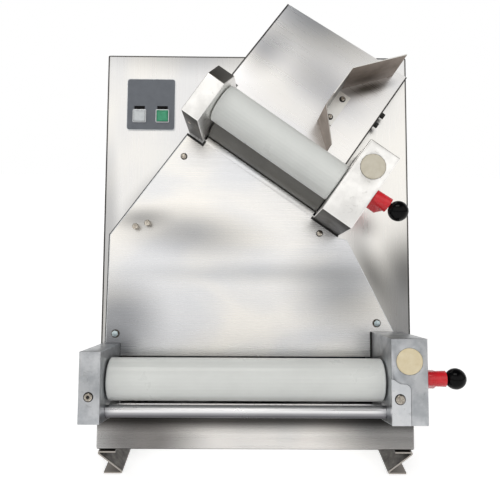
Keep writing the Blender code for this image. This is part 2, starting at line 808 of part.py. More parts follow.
def fixing_places():
    """Screws and stop pins on the panel, each from the form that it goes with."""
    known = (("upper_left_screw", upper_head_corner(-1, 0), UPPER_LEFT_SCREW),
             ("upper_right_screw", upper_head_corner(1, 0), UPPER_RIGHT_SCREW),
             ("lower_left_screw", left_notch_corner(), LOWER_LEFT_SCREW),
             ("lower_right_screw", right_notch_corner(), LOWER_RIGHT_SCREW),
             ("left_stop_pin", left_shoulder(), LEFT_PIN),
             ("right_stop_pin", left_shoulder(), RIGHT_PIN))
    return [(name, stepped(start, step)) for name, start, step in known]


def fixing_hole_mesh(name, place):
    hole = circle(place, SCREW_SHANK + FIT, SMALL_STEPS // 2)
    return flat_mesh(name, [hole], -OVERRUN, OVERRUN, FRONT)


def slide_plate(panel):
    holes = [circle(place, SCREW_SHANK + FIT, SMALL_STEPS // 2) for _, place in fixing_places()]
    mesh = flat_mesh("slide_plate", [slide_plate_outline()] + holes, FIT, FIT + PLATE_SHEET, FRONT)
    return part("slide_plate", mesh, panel, STAINLESS)


def fixings(panel):
    seat = 2 * FIT + PLATE_SHEET
    reach = SCREW_REACH
    for name, place in fixing_places()[:4]:
        lower = name.startswith("lower")
        steps = 6 if lower else SMALL_STEPS
        head_disc = flat_mesh(f"{name}_head", [circle(place, SCREW_HEAD, steps)], seat,
                              seat + SCREW_HEAD_HEIGHT, FRONT)
        shank = flat_mesh(f"{name}_shank", [circle(place, SCREW_SHANK, SMALL_STEPS // 2)],
                          seat - reach, seat + SCREW_HEAD_HEIGHT / 2, FRONT)
        part(f"plate_{name}", union_mesh(name, [head_disc, shank]), panel, DARK_STEEL)
    for name, place in fixing_places()[4:]:
        profile = [(STOP_PIN_LENGTH, 0), (STOP_PIN_LENGTH, STOP_PIN_RADIUS - STOP_PIN_EDGE),
                   (STOP_PIN_LENGTH - STOP_PIN_EDGE, STOP_PIN_RADIUS), (seat, STOP_PIN_RADIUS),
                   (seat, SCREW_SHANK), (seat - reach, SCREW_SHANK), (seat - reach, 0)]
        turned(name, profile, panel, STAINLESS, (place[0], 0, place[1]), (math.radians(90), 0, 0))


# Control panel

def button_place(offset):
    return CONTROL_X + offset * BUTTON_SPACING / 2, CONTROL_V - BUTTON_DROP


def button_hole(offset):
    x, v = button_place(offset)
    half = BUTTON_SIZE / 2 + FIT
    return rectangle((x - half, v - half), (x + half, v + half))


def button_hole_mesh(name, offset):
    return flat_mesh(name, [button_hole(offset)], -OVERRUN, OVERRUN, FRONT)


def control_panel(panel):
    low = (CONTROL_X - CONTROL_WIDTH / 2, CONTROL_V - CONTROL_HEIGHT / 2)
    high = (CONTROL_X + CONTROL_WIDTH / 2, CONTROL_V + CONTROL_HEIGHT / 2)
    outlines = [rounded_rectangle(low, high, CONTROL_CORNER), button_hole(-1), button_hole(1)]
    mesh = flat_mesh("control_panel", outlines, FIT, FIT + CONTROL_SHEET, FRONT)
    part("control_panel", mesh, panel, PANEL_GREY)
    for name, offset, finish in (("stop_button", -1, WHITE_POLYMER), ("start_button", 1, GREEN_POLYMER)):
        half = BUTTON_SIZE / 2
        proud = BUTTON_PRESSED + BUTTON_TRAVEL
        mesh = box_mesh(name, (-half, -proud, -half), (half, BUTTON_BODY, half))
        x, v = button_place(offset)
        made = part(name, mesh, panel, finish, (x, 0, v))
        edge = made.modifiers.new("edge", "BEVEL")
        edge.width = HEAD_EDGE
        edge.segments = 2
        edge.limit_method = "ANGLE"


# Roller heads

def head_outline(group, side):
    """Side view: first value into the machine (Y), second up. Anticlockwise, back edge last."""
    depth = group["head_depth"]
    bottom = -HEAD_BOTTOM
    top = LEFT_HEAD_TOP if side < 0 else group["right_top"]
    if side < 0 and group["chamfer"]:
        upper = [(-depth, CHAMFER_LOW), (-depth + CHAMFER_RUN, CHAMFER_HIGH), (-FIT, top)]
    else:
        upper = [(-depth, top), (-FIT, top)]
    points = [(-FIT, bottom - group["fall"]), (-depth, bottom)] + upper
    return points[::-1]


def head(group, side, parent):
    name = f"{group['name']}_{'left' if side < 0 else 'right'}_head"
    start, end = head_span(group, side)
    outline = head_outline(group, side)
    mesh = flat_mesh(name, [outline], start, end, SIDE)
    made = part(name, mesh, parent, CAST_ALUMINIUM)
    edge = made.modifiers.new("edge", "BEVEL")
    edge.width = HEAD_EDGE
    edge.segments = 2
    edge.limit_method = "ANGLE"
    walls = [HEAD_WALL] * len(outline)
    walls[-1] = -OVERRUN
    hollow = flat_mesh(f"{name}_hollow", [inset(outline, walls)], start + HEAD_WALL, end - HEAD_WALL, SIDE)
    boolean(made, cutter(f"{name}_hollow", hollow, parent))
    # The journals' slots in the inner wall
    wall = stations(group, side, END_PLAY - OVERRUN / 2, END_PLAY + HEAD_WALL + OVERRUN / 2)
    play = JOURNAL_RADIUS + 2 * FIT
    front = front_axis(group) - toward_rear() * (TRAVEL * (1 - group["open"]))
    back = front_axis(group) + toward_rear() * (TRAVEL * group["open"])
    slot = capsule((front.y, front.z), (back.y, back.z), play)
    front_cut = flat_mesh(f"{name}_front_slot", [slot], *wall, SIDE)
    boolean(made, cutter(f"{name}_front_slot", front_cut, parent))
    rear = rear_axis(group)
    beyond = rear.y + 2 * ROLLER_RADIUS
    notch = capsule((rear.y, rear.z), (beyond, rear.z), play)
    rear_cut = flat_mesh(f"{name}_rear_slot", [notch], *wall, SIDE)
    boolean(made, cutter(f"{name}_rear_slot", rear_cut, parent))
    return made


def capsule(first, second, radius, steps=SMALL_STEPS):
    """Round-ended slot outline between two places."""
    along = Vector(second) - Vector(first)
    angle = math.atan2(along.y, along.x)
    half = steps // 2
    points = []
    for centre, begin in ((second, angle - math.pi / 2), (first, angle + math.pi / 2)):
        for step in range(half + 1):
            turn = begin + math.pi * step / half
            points.append((centre[0] + radius * math.cos(turn), centre[1] + radius * math.sin(turn)))
    return points


def right_head_holes(group, made, parent):
    """Lever shaft, index holes and plug hole in a right head."""
    name = made.name
    wall = stations(group, 1, END_PLAY + RIGHT_HEAD_WIDTH - HEAD_WALL - OVERRUN / 2,
                    END_PLAY + RIGHT_HEAD_WIDTH + OVERRUN)
    pivot = lever_axis(group)
    face = END_PLAY + RIGHT_HEAD_WIDTH
    boss_span = stations(group, 1, face - HEAD_WALL - SHAFT_BOSS, face - HEAD_WALL / 2)
    boss = rod_mesh(f"{name}_boss", *boss_span, SHAFT_BOSS_RADIUS, (pivot.y, pivot.z))
    boolean(made, cutter(f"{name}_boss", boss, parent), "UNION")
    through = stations(group, 1, face - HEAD_WALL - SHAFT_BOSS - OVERRUN, face + OVERRUN)
    hole = rod_mesh(f"{name}_shaft_hole", *through, LEVER_SHAFT + FIT, (pivot.y, pivot.z))
    boolean(made, cutter(f"{name}_shaft_hole", hole, parent))
    for index in range(INDEX_HOLES):
        place = index_place(group, index / (INDEX_HOLES - 1))
        hole = rod_mesh(f"{name}_index_{index}", *wall, INDEX_HOLE_RADIUS, place, SMALL_STEPS // 2)
        boolean(made, cutter(f"{name}_index_{index}", hole, parent))
    depth = stations(group, 1, face - GROOVE_DEPTH, face + OVERRUN)
    groove = flat_mesh(f"{name}_groove", [groove_outline(group)], *depth, SIDE)
    boolean(made, cutter(f"{name}_groove", groove, parent))
    inner = head_span(group, 1)[0]
    plug = flat_mesh(f"{name}_plug_hole", [circle((inner + PLUG_INSET, group["plug_up"]), PLUG_RADIUS)],
                     group["head_depth"] - HEAD_WALL - OVERRUN, group["head_depth"] + OVERRUN, FRONT)
    boolean(made, cutter(f"{name}_plug_hole", plug, parent))


def index_place(group, share):
    """Place of the plunger, seen from the side, at a share of the lever's swing."""
    turn = lever_sense(group) * INDEX_SWEEP * share
    place = lever_axis(group) + Matrix.Rotation(turn, 3, "X") @ (crank_side(group) * CRANK)
    return place.y, place.z


def groove_outline(group):
    """Curved groove that the plunger runs in, round the lever's axis, with round ends."""
    pivot = lever_axis(group)
    wide = PLUNGER_RADIUS + FIT
    sense = lever_sense(group)
    first = math.atan2(crank_side(group).z, crank_side(group).y)
    inner = []
    outer = []
    for step in range(SMALL_STEPS + 1):
        turn = first + sense * INDEX_SWEEP * step / SMALL_STEPS
        for row, radius in ((inner, CRANK - wide), (outer, CRANK + wide)):
            row.append((pivot.y + radius * math.cos(turn), pivot.z + radius * math.sin(turn)))
    ends = []
    quarter = SMALL_STEPS // 4
    for share, begin in ((1, 0), (0, 1)):
        middle = index_place(group, share)
        turn = first + sense * INDEX_SWEEP * share
        cap = []
        for step in range(1, 2 * quarter):
            around = turn + sense * math.pi * (begin + step / (2 * quarter))
            cap.append((middle[0] + wide * math.cos(around), middle[1] + wide * math.sin(around)))
        ends.append(cap)
    return outer + ends[0] + inner[::-1] + ends[1]


def lever_sense(group):
    """A lever swings over the top between its two ends; this is its sign about +X."""
    return -1 if group["open"] else 1


def plug(group, parent):
    inner = head_span(group, 1)[0]
    outline = circle((inner + PLUG_INSET, group["plug_up"]), PLUG_RADIUS - FIT)
    mesh = flat_mesh(f"{group['name']}_plug", [outline], group["head_depth"] - HEAD_WALL,
                     group["head_depth"] + PLUG_PROUD, FRONT)
    return part(f"{group['name']}_plug", mesh, parent, CREAM_POLYMER)


def cover_outline(gap):
    """Front view of the removable cover: an S-shaped shoulder, then a straight outer edge."""
    inner = head_span(LOWER, 1)[0]
    outer = inner + COVER_WIDTH - gap
    steps = 8
    points = [(inner, -HEAD_BOTTOM), (outer, -HEAD_BOTTOM)]
    low = COVER_LOW_SHOULDER - gap
    for step in range(steps + 1):
        turn = math.pi / 2 * step / steps
        points.append((outer - COVER_BEND + COVER_BEND * math.cos(turn),
                       low - COVER_BEND + COVER_BEND * math.sin(turn)))
    rise = COVER_HIGH_SHOULDER - COVER_LOW_SHOULDER
    middle = outer - COVER_BEND - COVER_BEND / 2
    for step in range(1, steps + 1):
        share = step / steps
        points.append((middle + (inner - middle) * share,
                       low + rise * (1 - math.cos(math.pi * share)) / 2))
    return points


def lower_right_cover(made, parent):
    """Cover plate that takes the place of one corner of the head's front wall."""
    front = LOWER["head_depth"]
    back = front - HEAD_WALL
    cut = cover_outline(0)
    past = OVERRUN
    low_x = cut[0][0]
    grown = [(x - past if x <= low_x + FIT else x, v - past if v <= -HEAD_BOTTOM + FIT else v)
             for x, v in cut]
    space = flat_mesh("lower_cover_space", [grown], back - FIT, front + OVERRUN, FRONT)
    boolean(made, cutter("lower_cover_space", space, parent))
    mesh = flat_mesh("lower_right_cover", [cover_outline(COVER_SEAM)], back, front, FRONT)
    return part("lower_right_cover", mesh, parent, CAST_ALUMINIUM)


# Side plates that carry the rollers

def side_plate(group, side, parent):
    name = f"{group['name']}_{'left' if side < 0 else 'right'}_side_plate"
    span = stations(group, side, PLATE_START, PLATE_START + SIDE_PLATE)
    back = SIDE_LEFT_BACK if side < 0 else MOTOR_BACK + SIDE_PAST_MOTOR
    front_edge = -group["proud"] - SIDE_AHEAD
    seat = -OPENING_BELOW + SEAT_RISE + FIT
    below = -HEAD_BOTTOM + HEAD_WALL + FIT
    outline = [
        (back, seat), (back, OPENING_ABOVE - FIT), (-FIT, OPENING_ABOVE - FIT), (-FIT, SIDE_ABOVE),
        (front_edge + SIDE_CORNER_RUN, SIDE_CORNER_HIGH), (front_edge, SIDE_CORNER_LOW),
        (front_edge, below), (-FIT, below), (-FIT, seat),
    ]
    rear = rear_axis(group)
    holes = [circle((rear.y, rear.z), BEARING_RADIUS)]
    if side > 0:
        motor = motor_axis(group)
        holes.append(circle((motor.y, motor.z), MOTOR_SPIGOT + FIT))
    front = front_axis(group)
    rest = BLOCK / 2 + FIT
    forward = rest + TRAVEL * (1 - group["open"])
    backward = rest + TRAVEL * group["open"]
    corners = ((-forward, -rest), (backward, -rest), (backward, rest), (-forward, rest))
    along = toward_rear()
    up = Vector((0, -along.z, along.y))
    slot = []
    for reach, rise in corners:
        place = front + along * reach + up * rise
        slot.append((place.y, place.z))
    mesh = flat_mesh(name, [outline] + holes + [slot], *span, SIDE)
    return part(name, mesh, parent, DARK_STEEL)


def bearing_block(group, side, parent):
    """Slides in its side plate. The right one has a yoke for the lever's eccentric pin."""
    name = f"{group['name']}_{'left' if side < 0 else 'right'}_block"
    half = BLOCK / 2
    inner, outer = PLATE_START, PLATE_START + SIDE_PLATE
    solids = []
    if side < 0:
        span = stations(group, side, inner, outer)
        solids.append(box_mesh(name, (span[0], -half, -half), (span[1], half, half)))
        bore = stations(group, side, inner - OVERRUN, outer + OVERRUN)
    else:
        yoke_start = outer + FIT
        yoke_end = yoke_start + YOKE
        span = stations(group, side, inner, yoke_end - FIT)
        solids.append(box_mesh(name, (span[0], -half, -half), (span[1], half, half)))
        pin = yoke_pin(group)
        yoke = stations(group, side, yoke_start, yoke_end)
        solids.append(box_mesh(f"{name}_yoke", (yoke[0], pin.y - YOKE_END, -YOKE_HEIGHT / 2),
                               (yoke[1], half - FIT, YOKE_HEIGHT / 2)))
        bore = stations(group, side, inner - OVERRUN, outer)
    removed = [rod_mesh(f"{name}_bore", *bore, BEARING_RADIUS)]
    if side > 0:
        wide = PIN_RADIUS + PIN_PLAY
        tall = PIN_RADIUS + ECCENTRIC + FIT
        slot = rounded_rectangle((pin.y - wide, pin.z - tall), (pin.y + wide, pin.z + tall), wide - FIT, 4)
        removed.append(flat_mesh(f"{name}_slot", [slot], *stations(group, side, outer, yoke_end + OVERRUN),
                                 SIDE))
    mesh = union_mesh(name, solids, removed)
    return part(name, mesh, parent, DARK_STEEL, front_axis(group), (-PAIR_DROP, 0, 0))


def yoke_pin(group):
    """Eccentric pin at rest, in the bearing block's own directions."""
    offset = lever_axis(group) - front_axis(group)
    turned_back = Matrix.Rotation(PAIR_DROP, 3, "X") @ offset
    return turned_back + Vector((0, ECCENTRIC * (1 - 2 * group["open"]), 0))


# Rollers and gears

def roller_profile(group, left_end, right_end):
    half = group["length"] / 2
    edge = ROLLER_EDGE
    return [(half + right_end, 0), (half + right_end, JOURNAL_RADIUS), (half, JOURNAL_RADIUS),
            (half, ROLLER_RADIUS - edge), (half - edge, ROLLER_RADIUS), (-half + edge, ROLLER_RADIUS),
            (-half, ROLLER_RADIUS - edge), (-half, JOURNAL_RADIUS),
            (-half - left_end, JOURNAL_RADIUS), (-half - left_end, 0)]


def rollers(group, parent):
    gear_end = GEAR_START + GEAR_WIDTH + 2 * FIT
    front = turned(f"{group['name']}_front_roller",
                   roller_profile(group, gear_end, PLATE_START + SIDE_PLATE - 2 * FIT), parent,
                   ROLLER_POLYMER, front_axis(group), ALONG_X, steps=ROLLER_STEPS)
    rear = turned(f"{group['name']}_rear_roller",
                  roller_profile(group, gear_end, pulley_end() + 2 * FIT), parent,
                  ROLLER_POLYMER, rear_axis(group), ALONG_X, steps=ROLLER_STEPS)
    return front, rear


def tooth_half_angle(radius):
    """Half the angle that an involute tooth takes up at a radius."""
    pitch = PAIR_DISTANCE / 2
    base = pitch * math.cos(PRESSURE_ANGLE)
    at_pitch = TOOTH_AT_PITCH / 2 / pitch + math.tan(PRESSURE_ANGLE) - PRESSURE_ANGLE
    if radius <= base:
        return at_pitch
    pressure = math.acos(base / radius)
    return at_pitch - (math.tan(pressure) - pressure)


def gear_outline(first_tooth):
    """Long teeth, so that the pair still meshes when the rollers are apart."""
    pitch = PAIR_DISTANCE / 2
    radii = (pitch - DEDENDUM, pitch, pitch + ADDENDUM)
    flank = [(radius, tooth_half_angle(radius)) for radius in radii]
    tooth = [(radius, -half) for radius, half in flank] + flank[::-1]
    outline = []
    for number in range(TEETH):
        middle = first_tooth + 2 * math.pi * number / TEETH
        for radius, angle in tooth:
            outline.append((radius * math.cos(middle + angle), radius * math.sin(middle + angle)))
    return outline


def gears(group, parent):
    span = stations(group, -1, GEAR_START, GEAR_START + GEAR_WIDTH)
    bore = circle((0, 0), JOURNAL_RADIUS + FIT)
    facing = math.atan2(toward_rear().z, toward_rear().y)
    half_pitch = math.pi / TEETH
    for name, place, first in (("front", front_axis(group), facing),
                               ("rear", rear_axis(group), facing + math.pi + half_pitch)):
        mesh = flat_mesh(f"{group['name']}_{name}_gear", [gear_outline(first), bore], *span, SIDE)
        part(f"{group['name']}_{name}_gear", mesh, parent, DARK_STEEL, place)


# Drive

def pulley_start():
    return PLATE_START + SIDE_PLATE + 2 * FIT


def pulley_end():
    return pulley_start() + PULLEY_WIDTH + 2 * PULLEY_RIM_WIDTH


def pulley_rim(start):
    """Outside of a belt pulley, from its outer end to its inner end."""
    rim = PULLEY_RADIUS + PULLEY_RIM
    lip = PULLEY_RIM_WIDTH
    end = start + PULLEY_WIDTH + 2 * lip
    return [(end, rim), (end - lip, rim), (end - lip, PULLEY_RADIUS), (start + lip, PULLEY_RADIUS),
            (start + lip, rim), (start, rim)]


def drive(group, parent):
    name = group["name"]
    start = group["length"] / 2 + pulley_start()
    rear = rear_axis(group)
    motor = motor_axis(group)
    rim = pulley_rim(start)
    bore = JOURNAL_RADIUS + FIT
    turned(f"{name}_roller_pulley", [(rim[0][0], bore)] + rim + [(rim[-1][0], bore)], parent,
           DARK_STEEL, rear, ALONG_X, closed=True)
    # The motor's pulley is one with the shaft that stands in the gearbox
    face = group["length"] / 2 + PLATE_START - FIT
    shaft = [(rim[-1][0], MOTOR_SHAFT), (face, MOTOR_SHAFT), (face, 0)]
    turned(f"{name}_motor_pulley", [(rim[0][0], 0)] + rim + shaft, parent, DARK_STEEL, motor, ALONG_X)
    # The belt's facets clear the pulley's corners when it turns
    inner = PULLEY_RADIUS / math.cos(math.pi / SMALL_STEPS) + FIT
    middle = start + PULLEY_RIM_WIDTH + PULLEY_WIDTH / 2
    loops = [capsule((rear.y, rear.z), (motor.y, motor.z), inner + BELT),
             capsule((rear.y, rear.z), (motor.y, motor.z), inner)]
    mesh = flat_mesh(f"{name}_drive_belt", loops, middle - BELT_WIDTH / 2, middle + BELT_WIDTH / 2, SIDE)
    part(f"{name}_drive_belt", mesh, parent, BELT_RUBBER)
    spigot_end = face + SIDE_PLATE
    neck = face - GEARBOX_LENGTH
    tail = neck - MOTOR_LENGTH
    edge = MOTOR_EDGE
    profile = [(face - FIT, 0), (face - FIT, MOTOR_SHAFT + FIT), (spigot_end, MOTOR_SHAFT + FIT),
               (spigot_end, MOTOR_SPIGOT), (face, MOTOR_SPIGOT), (face, GEARBOX_RADIUS - edge),
               (face - edge, GEARBOX_RADIUS), (neck, GEARBOX_RADIUS), (neck, MOTOR_RADIUS - edge),
               (neck - edge, MOTOR_RADIUS), (tail + edge, MOTOR_RADIUS), (tail, MOTOR_RADIUS - edge),
               (tail, 0)]
    turned(f"{name}_gearmotor", profile, parent, MOTOR_PAINT, motor, ALONG_X)


# Thickness levers

def lever(group, parent):
    name = group["name"]
    pivot = lever_axis(group)
    face = END_PLAY + RIGHT_HEAD_WIDTH
    base = group["length"] / 2
    # Shaft with the eccentric pin on its inner end
    yoke_end = PLATE_START + SIDE_PLATE + FIT + YOKE
    shaft_start = base + yoke_end + 4 * FIT
    shaft_end = base + face + 2 * FIT + ARM_WIDTH
    collar = base + face - HEAD_WALL - SHAFT_BOSS - FIT
    shaft_rod = rod_mesh(f"{name}_shaft_rod", shaft_start, shaft_end, LEVER_SHAFT)
    collar_rod = rod_mesh(f"{name}_collar", collar - LEVER_COLLAR_WIDTH, collar, LEVER_COLLAR)
    rest = toward_rear() * (ECCENTRIC * (1 - 2 * group["open"]))
    pin = rod_mesh(f"{name}_pin", base + PLATE_START + SIDE_PLATE + 2 * FIT,
                   shaft_start + LEVER_COLLAR_WIDTH, PIN_RADIUS, (rest.y, rest.z))
    mesh = union_mesh(f"{name}_lever_shaft", [shaft_rod, collar_rod, pin])
    part(f"{name}_lever_shaft", mesh, parent, POLISHED_STEEL, pivot)
    # Red lever body: hub with its conical end, crank and sleeve
    stub = crank_side(group) * CRANK
    arm_start = base + face + FIT
    arm_end = arm_start + ARM_WIDTH
    sleeve_end = base + face + group["sleeve_reach"]
    web = hub_outline((0, 0), HUB_RADIUS, (stub.y, stub.z), SLEEVE_RADIUS - 2 * FIT)
    arm = flat_mesh(f"{name}_arm", [web], arm_start, arm_end, SIDE)
    cap = rod_mesh(f"{name}_cap", arm_end - FIT, arm_end + HUB_CAP, HUB_RADIUS, end_radius=HUB_CAP_RADIUS)
    sleeve = rod_mesh(f"{name}_sleeve", arm_start + FIT, sleeve_end, SLEEVE_RADIUS, (stub.y, stub.z),
                      end_radius=SLEEVE_MOUTH)
    shaft_bore = rod_mesh(f"{name}_shaft_bore", arm_start - OVERRUN, arm_end + 2 * FIT, LEVER_SHAFT + FIT)
    stem_bore = rod_mesh(f"{name}_stem_bore", arm_start - OVERRUN, sleeve_end + OVERRUN,
                         STEM_RADIUS + FIT, (stub.y, stub.z))
    mesh = union_mesh(f"{name}_lever", [arm, cap, sleeve], [shaft_bore, stem_bore])
    shade_round(mesh)
    part(f"{name}_lever", mesh, parent, RED_POLYMER, pivot)
    # Ball knob on the index plunger
    ball = sleeve_end + FIT + BALL_RADIUS
    tip = base + face - PLUNGER_DEPTH
    profile = []
    steps = 3 * SMALL_STEPS // 8
    last = math.pi - math.asin(STEM_RADIUS / BALL_RADIUS)
    for step in range(steps + 1):
        turn = last * step / steps
        profile.append((ball + BALL_RADIUS * math.cos(turn), BALL_RADIUS * math.sin(turn)))
    cone = tip + PLUNGER_RADIUS - PLUNGER_TIP
    profile += [(arm_start, STEM_RADIUS), (arm_start, PLUNGER_RADIUS), (cone, PLUNGER_RADIUS),
                (tip, PLUNGER_TIP), (tip, 0)]
    turned(f"{name}_knob", profile, parent, BLACK_PHENOLIC, pivot + stub, ALONG_X)


def hub_outline(hub, hub_radius, end, end_radius, steps=SMALL_STEPS):
    """Outline round two circles of unlike radius, joined by their outer tangents."""
    along = Vector(end) - Vector(hub)
    angle = math.atan2(along.y, along.x)
    lean = math.acos((hub_radius - end_radius) / along.length)
    points = []
    half = steps // 2
    for step in range(half + 1):
        turn = angle - lean + 2 * lean * step / half
        points.append((end[0] + end_radius * math.cos(turn), end[1] + end_radius * math.sin(turn)))
    for step in range(half + 1):
        turn = angle + lean + 2 * (math.pi - lean) * step / half
        points.append((hub[0] + hub_radius * math.cos(turn), hub[1] + hub_radius * math.sin(turn)))
    return points


# Bar and scrapers

def tie_bar(parent):
    start = stations(LOWER, -1, 0, END_PLAY - FIT)[0]
    end = stations(LOWER, 1, 0, END_PLAY - FIT)[1]
    place = (-LOWER_PROUD - BAR_AHEAD, -BAR_DROP)
    mesh = rod_mesh("guard_bar", start, end, BAR_RADIUS, place, ROLLER_STEPS // 2)
    return part("guard_bar", mesh, parent, POLISHED_STEEL)


def scraper(group, parent):
    """Strip along the back of the rear roller, its edge just off the roller."""
    start = stations(group, -1, 0, PLATE_START - FIT)[0]
    end = stations(group, 1, 0, PLATE_START - FIT)[1]
    low = ROLLER_RADIUS + SCRAPER_GAP
    high = low + SCRAPER_HEIGHT
    edge = SCRAPER_THICK / 4
    outline = [(low, -edge), (low + SCRAPER_THICK, -SCRAPER_THICK / 2), (high, -SCRAPER_THICK / 2),
               (high, SCRAPER_THICK / 2), (low + SCRAPER_THICK, SCRAPER_THICK / 2), (low, edge)]
    mesh = flat_mesh(f"{group['name']}_scraper", [outline], start, end, SIDE)
    # The outline's first direction is turned to SCRAPER_ANGLE, counted from straight back
    angle = -SCRAPER_ANGLE + math.radians(180)
    return part(f"{group['name']}_scraper", mesh, parent, STAINLESS, rear_axis(group), (angle, 0, 0))


# Feed chute and its guide

def chute_frame(parent):
    middle = Vector((0, -CHUTE_PROUD, CHUTE_DATUM))
    return frame("chute_frame", parent, middle, (-CHUTE_LEAN, 0, 0))


def chute(parent, chute_parent):
    left, right = CHUTE_LEFT, CHUTE_RIGHT
    half = CHUTE_SHEET / 2
    deep = CHUTE_PROUD + CHUTE_DATUM
    path = [(left + half, deep), (left + half, 0), (right - half, 0), (right - half, deep)]
    low = -CHUTE_DATUM
    high = CHUTE_TOP_RIGHT - CHUTE_DATUM + CHUTE_SHEET
    mesh = flat_mesh("upper_chute", [folded_outline(path, CHUTE_SHEET)], low, high, TOP)
    made = part("upper_chute", mesh, chute_parent, STAINLESS)
    # The flanges end on the panel, and the foot is square to it
    wide = BODY_WIDTH
    below = box_mesh("chute_trim", (-wide, -FIT, -wide), (wide, wide, wide))
    boolean(made, cutter("chute_trim", below, parent))
    foot = box_mesh("chute_foot_trim", (-wide, -wide, -wide), (wide, wide, CHUTE_FOOT))
    boolean(made, cutter("chute_foot_trim", foot, parent))
    # The left head stands in a notch
    start, end = head_span(UPPER, -1)
    notch = box_mesh("chute_notch", (start - wide, -wide, -wide), (end + FIT, wide, LEFT_HEAD_TOP + FIT))
    boolean(made, cutter("chute_notch", notch, parent))
    # The top edge is a little out of square
    slope = math.atan2(CHUTE_TOP_RIGHT - CHUTE_TOP_LEFT, CHUTE_RIGHT - CHUTE_LEFT)
    top = box_mesh("chute_top_trim", (-wide, -wide, 0), (wide, wide, wide))
    boolean(made, cutter("chute_top_trim", top, chute_parent,
                         (CHUTE_LEFT, 0, CHUTE_TOP_LEFT - CHUTE_DATUM), (0, -slope, 0)))
    return made


def chute_guide(chute_parent):
    half = GUIDE_SHEET / 2
    lift = GUIDE_LIFT
    foot = CHUTE_FOOT - CHUTE_DATUM
    top = CHUTE_TOP_RIGHT - CHUTE_DATUM
    wall_x = CHUTE_RIGHT - GUIDE_WALL_ASIDE
    wall_low = foot + GUIDE_WALL_LOW
    wall_high = top - GUIDE_WALL_HIGH
    tip_x = CHUTE_RIGHT - GUIDE_LOW_TIP_ASIDE
    tip_low = foot + GUIDE_LOW_TIP
    path = [(tip_x, tip_low), (wall_x, wall_low), (wall_x, wall_high),
            (CHUTE_RIGHT - GUIDE_HIGH_TIP_ASIDE, top - GUIDE_HIGH_TIP)]
    wall = flat_mesh("guide_wall", [folded_outline(path, GUIDE_SHEET)], lift, lift + GUIDE_HEIGHT, FRONT)
    flange = box_mesh("guide_flange", (wall_x, -lift - GUIDE_SHEET, wall_low + GUIDE_FLANGE_SHORT),
                      (wall_x + GUIDE_FLANGE_WIDTH + half, -lift, wall_high - GUIDE_FLANGE_SHORT))
    mesh = union_mesh("chute_guide", [wall, flange])
    made = part("chute_guide", mesh, chute_parent, STAINLESS)
    # The lower wing gets lower towards its tip
    aside = tip_x - wall_x
    fall = wall_low - tip_low
    slope = math.atan2(GUIDE_FOLD_HEIGHT - GUIDE_TIP_HEIGHT, math.hypot(aside, fall))
    wide = BODY_WIDTH
    above = box_mesh("guide_slope", (-wide, -wide, -wide), (wide, 0, wide))
    above.transform(Matrix.Rotation(slope, 4, "Z"))
    boolean(made, cutter("guide_slope", above, chute_parent, (tip_x, -lift - GUIDE_TIP_HEIGHT, tip_low),
                         (0, math.atan2(fall, aside), 0)))
    return made


# Electrical pieces

def electrical_box(root):
    back = BODY_DEPTH - FIT
    middle = BOX_ASIDE - BODY_WIDTH / 2
    low = (middle - BOX_WIDTH / 2, back - BOX_DEPTH, BOX_FLOOR)
    high = (middle + BOX_WIDTH / 2, back, BOX_FLOOR + BOX_HEIGHT)
    made = part("electrical_box", box_mesh("electrical_box", low, high), root, BOX_POLYMER)
    edge = made.modifiers.new("edge", "BEVEL")
    edge.width = BEND_RADIUS
    edge.segments = 2
    edge.limit_method = "ANGLE"
    return made


def cable_gland(root):
    outside = BODY_DEPTH + SHEET + 2 * FIT
    centre = gland_place()
    body = flat_mesh("gland_body", [circle(centre, GLAND_BODY)], -outside - GLAND_PROUD,
                     -outside + 2 * SHEET + GLAND_NUT, FRONT)
    nut = flat_mesh("gland_nut", [circle(centre, GLAND_HEX, 6)], -outside - GLAND_NUT, -outside, FRONT)
    bore = flat_mesh("gland_bore", [circle(centre, GLAND_BORE, SMALL_STEPS // 2)],
                     -outside - GLAND_PROUD - OVERRUN, -outside + BODY_DEPTH, FRONT)
    mesh = union_mesh("cable_gland", [body, nut], [bore])
    return part("cable_gland", mesh, root, BLACK_PHENOLIC)


def stand_on_origin(root):
    """Moves the machine so that the middle of its underside is at the origin."""
    bpy.context.view_layer.update()
    graph = bpy.context.evaluated_depsgraph_get()
    low = Vector((math.inf, math.inf, math.inf))
    high = -low
    for made in PARTS.objects:
        if made.type != "MESH":
            continue
        ready = made.evaluated_get(graph)
        for vertex in ready.data.vertices:
            place = ready.matrix_world @ vertex.co
            low = Vector(map(min, low, place))
            high = Vector(map(max, high, place))
    root.location = (-(low.x + high.x) / 2, -(low.y + high.y) / 2, -low.z)
    bpy.context.view_layer.update()


def build():
    root, panel, groups = machine_frames()
    body_shell(root, panel, groups)
    base_plate(root)
    rear_cover(root)
    feet(root)
    lower_front_panel(panel)
    slide_plate(panel)
    fixings(panel)
    control_panel(panel)
    for group in (LOWER, UPPER):
        parent = groups[group["name"]]
        head(group, -1, parent)
        right = head(group, 1, parent)
        right_head_holes(group, right, parent)
        if group is LOWER:
            lower_right_cover(right, parent)
        plug(group, parent)
        for side in (-1, 1):
            side_plate(group, side, parent)
            bearing_block(group, side, parent)
        rollers(group, parent)
        gears(group, parent)
        drive(group, parent)
        lever(group, parent)
        scraper(group, parent)
    tie_bar(groups["lower"])
    upper = groups["upper"]
    chute_parent = chute_frame(upper)
    chute(upper, chute_parent)
    chute_guide(chute_parent)
    electrical_box(root)
    cable_gland(root)
    stand_on_origin(root)


build()
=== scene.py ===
import json
import math

import bmesh
import bpy
from mathutils import Matrix, Vector


